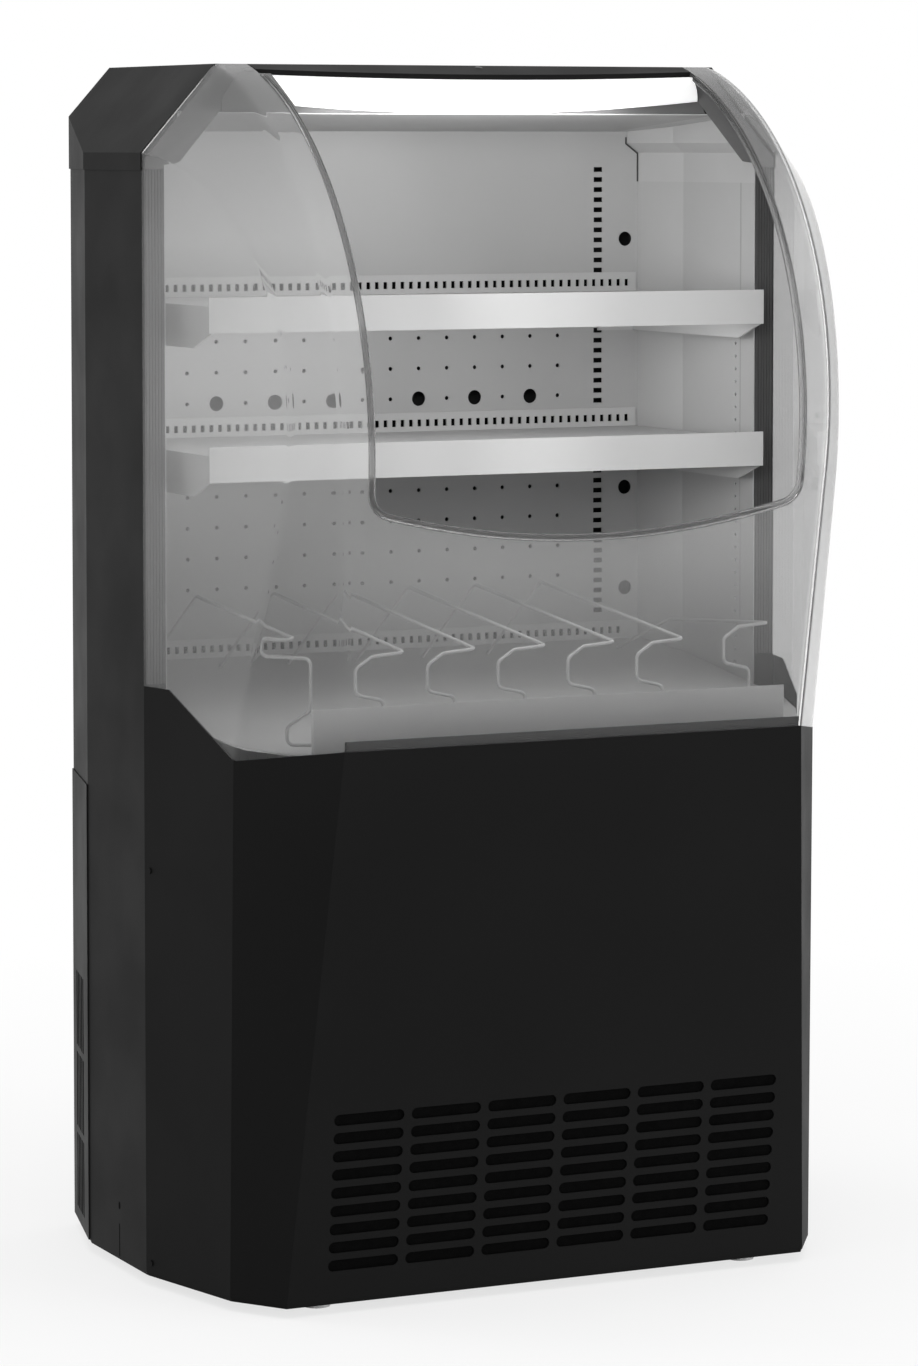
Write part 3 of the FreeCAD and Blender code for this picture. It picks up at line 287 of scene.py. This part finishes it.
def soften(mesh, angle):
    mesh.shade_smooth()
    mesh.set_sharp_from_angle(angle=math.radians(angle))


def mesh_of(name, points, faces, smooth_angle=None):
    mesh = bpy.data.meshes.new(name)
    mesh.from_pydata([Vector(point) / 1000 for point in points], [], faces)
    cleaned = bmesh.new()
    cleaned.from_mesh(mesh)
    bmesh.ops.remove_doubles(cleaned, verts=cleaned.verts, dist=MERGE_DISTANCE)
    bmesh.ops.dissolve_degenerate(cleaned, edges=cleaned.edges, dist=MERGE_DISTANCE)
    bmesh.ops.recalc_face_normals(cleaned, faces=cleaned.faces)
    cleaned.to_mesh(mesh)
    cleaned.free()
    if smooth_angle:
        soften(mesh, smooth_angle)
    return mesh


def grid_faces(rows, columns, closed=False):
    """Faces between rows of points; a closed grid also joins each row's last point to its first."""
    faces = []
    for r in range(rows - 1):
        low, high = r * columns, (r + 1) * columns
        for c in range(columns if closed else columns - 1):
            after = (c + 1) % columns
            faces.append((low + c, low + after, high + after, high + c))
    return faces


def prism(outline, near, far):
    """Points and faces of a solid with this outline (x, z) between two depths."""
    count = len(outline)
    points = [Vector((x, y, z)) for y in (near, far) for x, z in outline]
    faces = [tuple(range(count)), tuple(range(2 * count - 1, count - 1, -1))]
    return points, faces + grid_faces(2, count, closed=True)


def rectangle(left, right, low, high):
    return [(left, low), (right, low), (right, high), (left, high)]


def on_side(side, point):
    """A point of the right-hand side: kept (1), moved to the middle (0) or mirrored (-1)."""
    return Vector((side * point[0], point[1], point[2]))


def modified(mesh, *changes):
    """The mesh with each (kind, settings) modifier applied."""
    holder = bpy.data.objects.new("holder", mesh)
    scene.collection.objects.link(holder)
    for kind, settings in changes:
        modifier = holder.modifiers.new(kind, kind)
        for key, value in settings.items():
            setattr(modifier, key, value)
    graph = bpy.context.evaluated_depsgraph_get()
    result = bpy.data.meshes.new_from_object(holder.evaluated_get(graph))
    bpy.data.objects.remove(holder)
    return result


def bevel(width):
    return "BEVEL", {"width": width, "segments": 2, "limit_method": "ANGLE"}


def repaint(mesh, slot, chosen):
    """A second finish on the faces that the test chooses."""
    mesh.materials.append(finishes[slot])
    for face in mesh.polygons:
        if chosen(face):
            face.material_index = 1


# Visor: flat sides, corners and a front that bends back to the canopy, with rounded folds

SIDE_SLOPE = math.tan(math.radians(13.68))
FRONT_SLOPE = math.tan(math.radians(6.07))
CORNER_SLOPE = math.tan(math.radians(17.0))
HALF_WIDTH = 410.0
TOP = 1400.0
SHOULDER = 1299.0                               # top of the visor's sides
FRONT_FOOT, FRONT_BEND = 642.0, 940.0           # heights where the front starts and bends back
CORNER_FOOT, CORNER_BEND = 623.0, 917.0         # the same for the fold at the corner
REAR_FOOT = 692.0
CORNER_DEPTH = 167.4                            # how far forward the corner's foot is
FRONT_HALF, FRONT_GROWTH = 286.7, 34.3          # half width of the front, and its gain to the top
KNEE_SHARE, KNEE_LIFT = 46.6 / CORNER_DEPTH, 19.2       # kink in the lower edge of the sides
FLAT_STEPS, ARC_STEPS = 24, 56                  # rows of points below and above the bend
VISOR_THICKNESS = 0.004                         # metres


def front_line(z):
    """Depth of the flat front, which continues the front panel below it."""
    panel_depth, panel_foot = -219.9, 15
    return panel_depth - (z - panel_foot) * FRONT_SLOPE


def corner_line(z):
    return -CORNER_DEPTH - (z - CORNER_FOOT) * CORNER_SLOPE


def tangent_arc(start, slope, end):
    """Centre, radius and end angles of the arc that leaves start along the slope, in side view."""
    lean = math.atan(slope)
    across = Vector((math.cos(lean), math.sin(lean)))
    chord = Vector(end) - Vector(start)
    radius = chord.length_squared / (2 * chord.dot(across))
    centre = Vector(start) + radius * across
    angles = [math.atan2(z - centre.y, y - centre.x) % (2 * math.pi) for y, z in (start, end)]
    return centre, radius, angles


front_arc = tangent_arc((front_line(FRONT_BEND), FRONT_BEND), FRONT_SLOPE, (0.0, TOP))
corner_arc = tangent_arc((corner_line(CORNER_BEND), CORNER_BEND), CORNER_SLOPE, (0.0, SHOULDER))


def along(arc, share):
    centre, radius, (first, last) = arc
    angle = first + (last - first) * share
    return centre.x + radius * math.cos(angle), centre.y + radius * math.sin(angle)


def front_surface(z):
    """Depth of the visor's front at a height, and its outward normal in side view."""
    if z <= FRONT_BEND:
        lean = math.atan(FRONT_SLOPE)
        return front_line(z), Vector((-math.cos(lean), -math.sin(lean)))
    centre, radius, _ = front_arc
    y = centre.x - math.sqrt(radius ** 2 - (z - centre.y) ** 2)
    return y, Vector((y - centre.x, z - centre.y)) / radius


def folds():
    """Rows of (corner fold, front fold) points on the right-hand side, from the foot to the top."""
    rows = []
    for step in range(FLAT_STEPS + 1):
        low = CORNER_FOOT + (CORNER_BEND - CORNER_FOOT) * step / FLAT_STEPS
        high = FRONT_FOOT + (FRONT_BEND - FRONT_FOOT) * step / FLAT_STEPS
        rows.append(((corner_line(low), low), (front_line(high), high)))
    for step in range(1, ARC_STEPS + 1):
        rows.append((along(corner_arc, step / ARC_STEPS), along(front_arc, step / ARC_STEPS)))
    growth = FRONT_GROWTH / (TOP - FRONT_FOOT)
    return [(Vector((HALF_WIDTH + cy * SIDE_SLOPE, cy, cz)),
             Vector((FRONT_HALF + (fz - FRONT_FOOT) * growth, fy, fz)))
            for (cy, cz), (fy, fz) in rows]


def rounded(before, corner, after, size, steps):
    """A fold eased by a curve that starts and ends the given distance from the corner."""
    size = min(size, 0.45 * (before - corner).length, 0.45 * (after - corner).length)
    if size > 1e-6:
        first = corner + (before - corner).normalized() * size
        last = corner + (after - corner).normalized() * size
    else:
        first, last = corner.copy(), corner.copy()
    points = []
    for step in range(steps + 1):
        t = step / steps
        points.append(first * (1 - t) ** 2 + corner * (2 * t * (1 - t)) + last * t ** 2)
    return points


def between(first, last, steps):
    return [first.lerp(last, step / steps) for step in range(1, steps)]


def visor_row(corner, front):
    """A line of points across the visor, from its right rear edge to its left one."""
    share = (corner.z - CORNER_FOOT) / (SHOULDER - CORNER_FOOT)
    rear = Vector((HALF_WIDTH, 0.0, REAR_FOOT + (SHOULDER - REAR_FOOT) * share))
    knee_y = corner.y * KNEE_SHARE
    knee_z = corner.z + (rear.z - corner.z) * (1 - KNEE_SHARE) + KNEE_LIFT * (1 - share) ** 4
    knee = Vector((HALF_WIDTH + knee_y * SIDE_SLOPE, knee_y, knee_z))
    first = rounded(knee, corner, front, size=6.0, steps=6)
    second = rounded(corner, front, on_side(-1, front), size=8.0, steps=8)
    middle = on_side(0, second[-1])
    half = [rear] + between(rear, knee, 3) + [knee] + between(knee, first[0], 8) + first
    half += between(first[-1], second[0], 8) + second + between(second[-1], middle, 20)
    return half + [middle] + [on_side(-1, point) for point in reversed(half)]


# Serving opening, cut through the visor's front and edged by the bead

OPENING_HALF = 270.0                            # half width at the foot of its sides
OPENING_LOW, OPENING_SAG = 868.0, 37.0          # lowest height, and the rise to the sides
OPENING_TOP = 1387.0
OPENING_CORNER = 30.0                           # radius of the lower corners
OPENING_TILT = 11 / 500                         # outward lean of the sides
CUT_FRONT, CUT_REAR, CUT_TOP = -420.0, 60.0, 1420.0

# Cross-section of the bead, as (into the opening, out of the sheet)
BEAD_PROFILE = [(-1.2, 0.1), (-0.6, 1.1), (0.4, 1.5), (1.4, 1.3), (1.9, 0.5), (2.5, 0.5),
                (3.0, 1.4), (4.4, 1.4), (4.9, 0.5), (5.5, 0.5), (6.0, 1.1), (6.7, 0.9),
                (7.0, 0.0), (7.0, -3.6), (6.4, -4.6), (5.0, -5.4), (1.0, -5.4), (0.0, -4.4),
                (0.0, -0.1)]


def arc_points(x, z, radius, first, last, steps):
    angles = [first + (last - first) * step / steps for step in range(steps + 1)]
    return [(x + radius * math.cos(angle), z + radius * math.sin(angle)) for angle in angles]


def opening_outline():
    """Half of the opening's edge, from the middle of its lower edge to the top, as (x, z)."""
    side_foot = OPENING_LOW + OPENING_SAG
    radius = (OPENING_HALF ** 2 + OPENING_SAG ** 2) / (2 * OPENING_SAG)
    centre_z = OPENING_LOW + radius
    # The corner's centre lies one corner radius inside both the lower arc and the leaning side.
    inner = radius - OPENING_CORNER
    start = OPENING_HALF - OPENING_CORNER * math.hypot(1, OPENING_TILT)
    a = 1 + OPENING_TILT ** 2
    b = 2 * (start * OPENING_TILT + side_foot - centre_z)
    c = start ** 2 + (side_foot - centre_z) ** 2 - inner ** 2
    rise = (-b - math.sqrt(b * b - 4 * a * c)) / (2 * a)
    corner = Vector((start + OPENING_TILT * rise, side_foot + rise))
    turn = math.atan2(corner.y - centre_z, corner.x)
    points = arc_points(0.0, centre_z, radius, -math.pi / 2, turn, 60)
    points += arc_points(*corner, OPENING_CORNER, turn, -math.atan(OPENING_TILT), 12)[1:]
    x, z = points[-1]
    climb = OPENING_TOP - z
    steps = 70
    points += [(x + OPENING_TILT * climb * step / steps, z + climb * step / steps)
               for step in range(1, steps + 1)]
    return points


def visor():
    """The folded sheet, thickened and cut, with a dark edge along its foot."""
    rows = [visor_row(corner, front) for corner, front in folds()]
    points = [point for row in rows for point in row]
    sheet = mesh_of("visor_sheet", points, grid_faces(len(rows), len(rows[0])))
    outward = bmesh.new()
    outward.from_mesh(sheet)
    foremost = min(outward.faces, key=lambda face: face.calc_center_median().y)
    if foremost.normal.y > 0:
        bmesh.ops.reverse_faces(outward, faces=outward.faces)
    outward.to_mesh(sheet)
    outward.free()
    half = opening_outline()
    half.append((half[-1][0] + 0.5, CUT_TOP))
    outline = half + [(-x, z) for x, z in reversed(half[1:])]
    block = mesh_of("cutter", *prism(outline, CUT_FRONT, CUT_REAR))
    cutter = bpy.data.objects.new("cutter", block)
    scene.collection.objects.link(cutter)
    thicken = {"thickness": VISOR_THICKNESS, "offset": -1.0, "use_even_offset": True}
    cut = {"operation": "DIFFERENCE", "object": cutter, "solver": "EXACT"}
    shell = modified(sheet, ("SOLIDIFY", thicken), ("BOOLEAN", cut))
    bpy.data.objects.remove(cutter)
    soften(shell, angle=30)
    piece("visor_shell", shell, "clear_visor", ["visor"])
    repaint(shell, "knob_plastic", lambda face: face.normal.z < -0.55 and face.center.z < 0.7)


def bead():
    """A ribbed clear edging swept round the serving opening."""
    opening_middle = 1150
    half = opening_outline()
    path = [(-x, z) for x, z in reversed(half[1:])] + half
    places = [Vector((x, front_surface(z)[0], z)) for x, z in path]
    points = []
    for index, place in enumerate(places):
        ahead = places[min(index + 1, len(places) - 1)]
        tangent = (ahead - places[max(index - 1, 0)]).normalized()
        slope = front_surface(place.z)[1]
        normal = Vector((0.0, slope.x, slope.y))
        inwards = normal.cross(tangent).normalized()
        if inwards.dot(Vector((-place.x, 0.0, opening_middle - place.z))) < 0:
            inwards.negate()
        points += [place + inwards * a + normal * b for a, b in BEAD_PROFILE]
    count = len(BEAD_PROFILE)
    faces = grid_faces(len(places), count, closed=True)
    faces += [tuple(range(count)), tuple(range(len(points) - count, len(points)))]
    mesh = mesh_of("visor_bead", points, faces, smooth_angle=38)
    piece("visor_bead", mesh, "clear_trim", ["visor_trim"])


# Lamp, trim, and painted shade at joints, openings and folds

def diffuser():
    """The lamp's white cover, its lower edge bowed down in the middle, pale inside."""
    rows, columns = 13, 61
    top, low_middle, low_rise = 1387.6, 1344.6, 15.4
    rear, depth, belly = -2.7, 19.1, 0.9
    half_width, taper = 300, 17
    points = []
    for r in range(rows):
        share = r / (rows - 1)
        y = rear - depth * math.sin(share * math.pi / 2) ** belly
        for c in range(columns):
            across = 2 * c / (columns - 1) - 1
            low = low_middle + low_rise * across ** 2
            z = low + (top - low) * share
            points.append(Vector((across * (half_width - taper * share), y, z)))
    mesh = mesh_of("lamp_cover", points, grid_faces(rows, columns))
    shell = modified(mesh, ("SOLIDIFY", {"thickness": 0.003, "offset": 0.0}), bevel(0.0008))
    soften(shell, angle=40)
    piece("lamp_cover", shell, "diffuser_white", ["light_diffuser"])
    repaint(shell, "led_board", lambda face: face.normal.y > 0.3)


def plate(name, outline, near, far, slot, body="cabinet"):
    """A flat plate with this outline (x, z) between two depths, its edges eased."""
    most_ease, quarter = 0.0003, (far - near) / 1000 / 4
    ease = min(most_ease, quarter)
    shell = modified(mesh_of(name, *prism(outline, near, far)), bevel(ease))
    soften(shell, angle=40)
    piece(name, shell, slot, body=body)


def slab(name, corners, thickness, slot):
    """A flat plate with these corners, thickened to both sides."""
    mesh = mesh_of(name, corners, [tuple(range(len(corners)))])
    thicken = {"thickness": thickness / 1000, "offset": 0.0}
    piece(name, modified(mesh, ("SOLIDIFY", thicken)), slot)


def rib_profile():
    """Cross-section of a flange strip, as (x, y): six flat ribs with grooves between them."""
    inner, outer = 381.8, 405.0
    first, pitch, count = 382.6, 3.7, 6
    edge, crest, groove = -0.9, -1.0, -0.3
    profile = [(inner, 0.0), (inner, edge)]
    for index in range(count):
        x = first + pitch * index
        profile += [(x, crest), (x + 2.5, crest), (x + 2.8, groove), (x + 3.3, groove)]
    return profile + [(outer, edge), (outer, 0.0)]


def frame_trim():
    """Grey cheeks under the visor's shoulders and ribbed strips down the side flanges."""
    cheek = [(382.0, 1280.0), (382.0, 1285.0), (363.0, 1288.0), (310.0, 1350.0), (303.0, 1358.0),
             (286.0, 1390.0), (286.0, 1393.0), (316.0, 1393.0), (405.0, 1292.0), (405.0, 1280.0)]
    strip_low, strip_high = 694.0, 1279.5
    ribs = rib_profile()
    count = len(ribs)
    faces = grid_faces(2, count, closed=True)
    faces += [tuple(range(count)), tuple(range(count, 2 * count))]
    for side, name in SIDES:
        outline = [(side * x, z) for x, z in cheek]
        plate("cheek_" + name, outline, near=-1.5, far=-0.1, slot="motor_grey")
        points = [on_side(side, (x, y, z)) for z in (strip_low, strip_high) for x, y in ribs]
        strip = mesh_of("flange_strip_" + name, points, faces)
        piece("flange_strip_" + name, strip, "control_plastic")


def lamp_backing():
    """Grey plates behind the lamp's cover and over its left end."""
    back = [(-312.0, 1345.0), (312.0, 1345.0), (306.0, 1358.0), (289.0, 1387.0),
            (-289.0, 1387.0), (-306.0, 1358.0)]
    end = [(-322.0, 1345.0), (-226.0, 1345.0), (-262.0, 1389.0), (-300.0, 1389.0),
           (-322.0, 1357.0)]
    plate("lamp_back", back, near=-0.9, far=-0.15, slot="motor_grey")
    plate("lamp_end", end, near=-26.5, far=-24.5, slot="motor_grey")


def visor_channel():
    """The dark channel behind the visor's foot."""
    behind = 5
    corners = [(-284.0, 632.0), (284.0, 632.0), (284.5, 653.0), (-284.5, 653.0)]
    places = [Vector((x, front_line(z) + behind, z)) for x, z in corners]
    slab("visor_channel", places, thickness=1.2, slot="black_steel")


def moulding_joint_shadow(side, name):
    """A painted shadow line along the joint between a corner moulding of the liner and the back
    wall.
    """
    joint_shadow_outline = [(340.6, 1317.0), (342.4, 1317.0), (342.4, 1309.6), (358.7, 1297.4), (358.7, 1262.0),
            (356.9, 1262.0), (356.9, 1296.4), (340.6, 1308.6)]
    outline = [(side * x, z) for x, z in joint_shadow_outline]
    plate("moulding_joint_shadow_" + name, outline, near=262.6, far=263.5, slot="control_plastic")


def louvre_shade_sheet(side, name):
    """A black sheet behind the louvres in a slanted rear corner: painted shade that darkens the
    openings.
    """
    level, out = Vector((-0.2503, 0.9682, 0.0)), Vector((0.9682, 0.2503, 0.0))
    up = Vector((0.0, 0.0, 1.0))
    inset, reach, low, high = 6.5, 48, 26, 323
    middle = Vector((391.0, 255.0, 0.0)) - out * inset
    corners = [middle + level * a + up * b for a, b in rectangle(-reach, reach, low, high)]
    places = [on_side(side, corner) for corner in corners]
    slab("louvre_shade_sheet_" + name, places, thickness=1.0, slot="filter_black")


def side_openings_shade(side, name):
    """A slit and an oval hole low on a side panel, drawn as black patches on the panel's face:
    painted shade for the openings.
    """
    face = HALF_WIDTH + 0.1
    slit = rectangle(83.8, 85.4, 15.5, 54.0)
    turns = [math.radians(20 * turn) for turn in range(18)]
    hole = [(84.6 + 2.6 * math.cos(turn), 75.5 + 4.6 * math.sin(turn)) for turn in turns]
    for kind, outline in (("side_slit_", slit), ("side_hole_", hole)):
        corners = [on_side(side, (face, y, z)) for y, z in outline]
        slab(kind + name, corners, thickness=0.2, slot="filter_black")


def wall_fold_shade(side, name):
    """A painted shade line for the fold near the front of a side wall of the liner."""
    wall = 379.54
    corners = [on_side(side, (wall, y, z)) for y, z in rectangle(32.0, 34.4, 722, 1262)]
    slab("wall_fold_shade_" + name, corners, thickness=0.1, slot="tray_plastic")


def rim_shadow(node, body, half_width, top):
    """The dark gap between the back wall and the rear edge of a shelf or the deck."""
    drop_low, drop_high = 18.5, 6.0
    rim = rectangle(-half_width, half_width, top - drop_low, top - drop_high)
    plate("rim_shadow_" + node, rim, near=263.50, far=263.62, slot="filter_black", body=body)


def canopy_screw():
    """A low domed screw head on the sloping top of the canopy."""
    canopy_slope, flatness = 0.2754, 0.3
    shape = bmesh.new()
    bmesh.ops.create_uvsphere(shape, u_segments=32, v_segments=16, radius=0.0045)
    place = Matrix.Translation((0.008, -0.010, 1.3972))
    lean = Matrix.Rotation(math.atan(canopy_slope), 4, "X")
    flatten = Matrix.Diagonal((1.0, 1.0, flatness, 1.0))
    bmesh.ops.transform(shape, verts=shape.verts, matrix=place @ lean @ flatten)
    mesh = bpy.data.meshes.new("canopy_screw")
    shape.to_mesh(mesh)
    shape.free()
    mesh.shade_smooth()
    piece("canopy_screw", mesh, "compressor_black")


visor()
bead()
diffuser()
frame_trim()
lamp_backing()
visor_channel()
for side, name in SIDES:
    moulding_joint_shadow(side, name)
    louvre_shade_sheet(side, name)
    side_openings_shade(side, name)
    wall_fold_shade(side, name)
for shelf in ("shelf_upper", "shelf_lower"):
    rim_shadow(shelf, shelf, 346.0, 1000 * max(corner[2] for corner in nodes[shelf].bound_box))
rim_shadow("deck", "cabinet", 340.0, 713.0)
canopy_screw()


# Stage, light and camera

WHITE = (1.0, 1.0, 1.0, 1.0)


def seen_directly(tree):
    """1 for rays from the camera, in reflections and through glass, otherwise 0."""
    path = tree.nodes.new("ShaderNodeLightPath")
    value = path.outputs["Is Camera Ray"]
    for name in ("Is Glossy Ray", "Is Transmission Ray"):
        most = tree.nodes.new("ShaderNodeMath")
        most.operation = "MAXIMUM"
        tree.links.new(value, most.inputs[0])
        tree.links.new(path.outputs[name], most.inputs[1])
        value = most.outputs["Value"]
    return value


def mix_surface(tree, share, first, second, output):
    mix = tree.nodes.new("ShaderNodeMixShader")
    tree.links.new(share, mix.inputs["Fac"])
    tree.links.new(first, mix.inputs[1])
    tree.links.new(second, mix.inputs[2])
    tree.links.new(mix.outputs["Shader"], tree.nodes[output].inputs["Surface"])


def floor():
    """A pale disc that keeps the object's shadow and fades to white further out."""
    mesh = bpy.data.meshes.new("floor")
    shape = bmesh.new()
    bmesh.ops.create_circle(shape, cap_ends=True, segments=96, radius=40.0)
    shape.to_mesh(mesh)
    shape.free()
    made = bpy.data.objects.new("floor", mesh)
    made.location.z = cad_box[0][2] - 0.0005
    scene.collection.objects.link(made)
    finish = Finish("floor", Roughness=0.9, Specular_IOR_Level=0.1)
    finish.colours(finish.noise(3.0), [(0.0, grey(236)), (1.0, grey(242))])
    distance = finish.node("ShaderNodeVectorMath", operation="LENGTH")
    finish.link(finish.place, distance.inputs[0])
    fade = finish.spread(distance.outputs["Value"], 0.72, 1.0, start=0.3, end=2.2)
    share = finish.node("ShaderNodeMath", operation="MULTIPLY")
    finish.link(seen_directly(finish.tree), share.inputs[0])
    finish.link(fade, share.inputs[1])
    white = finish.node("ShaderNodeEmission")
    mix_surface(finish.tree, share.outputs["Value"], finish.shader.outputs["BSDF"],
                white.outputs["Emission"], "Material Output")
    mesh.materials.append(finish.material)


def sky():
    """An even light, seen as plain white."""
    world = bpy.data.worlds.new("studio")
    world.use_nodes = True
    tree = world.node_tree
    light = tree.nodes["Background"]
    backdrop = tree.nodes.new("ShaderNodeBackground")
    for background, strength in ((light, 0.45), (backdrop, 1.0)):
        background.inputs["Color"].default_value = WHITE
        background.inputs["Strength"].default_value = strength
    mix_surface(tree, seen_directly(tree), light.outputs["Background"],
                backdrop.outputs["Background"], "World Output")
    scene.world = world


def lamp(name, place, aim, width, height, watts, spread=180):
    data = bpy.data.lights.new(name, "AREA")
    data.shape = "RECTANGLE"
    data.size = width
    data.size_y = height
    data.energy = watts
    data.spread = math.radians(spread)
    made = bpy.data.objects.new(name, data)
    made.location = place
    made.rotation_euler = (Vector(aim) - Vector(place)).to_track_quat("-Z", "Y").to_euler()
    made.visible_camera = False
    made.visible_glossy = False
    made.visible_transmission = False
    scene.collection.objects.link(made)


def camera():
    tilt_down, turn = 3.809, -25.259
    data = bpy.data.cameras.new("camera")
    data.sensor_width = 36.0
    data.lens = 127.15
    data.shift_y = -0.16
    data.clip_end = 200.0
    made = bpy.data.objects.new("camera", data)
    made.location = (-2.4199, -5.1018, 1.3096)
    made.rotation_euler = (math.radians(90 - tilt_down), 0.0, math.radians(turn))
    scene.collection.objects.link(made)
    scene.camera = made


floor()
sky()
# Studio lamps, then weak lamps for the display space: name, place, aim, width, height, watts
lamp("overhead", (0.0, -0.6, 4.2), (0.0, 0.0, 0.7), 4.0, 4.0, 110.0)
lamp("left", (-3.4, 3.4, 2.2), (0.0, 0.0, 0.8), 2.5, 3.0, 50.0)
lamp("front", (3.0, -4.0, 0.9), (0.1, -0.25, 0.35), 2.5, 1.2, 20.0, spread=70)
lamp("display", (-1.0, -1.9, 1.45), (0.0, 0.0, 1.08), 0.6, 0.6, 1.3, spread=75)
lamp("across", (-1.1, -1.1, 1.15), (0.37, 0.12, 1.0), 0.25, 0.4, 0.85, spread=45)
lamp("canopy", (-0.01, -0.05, 1.338), (-0.01, 0.22, 1.12), 0.40, 0.03, 0.62)
lamp("shelf", (-0.03, -0.05, 1.10), (-0.03, 0.26, 1.03), 0.6, 0.03, 0.56)
camera()

scene.view_settings.view_transform = "Standard"
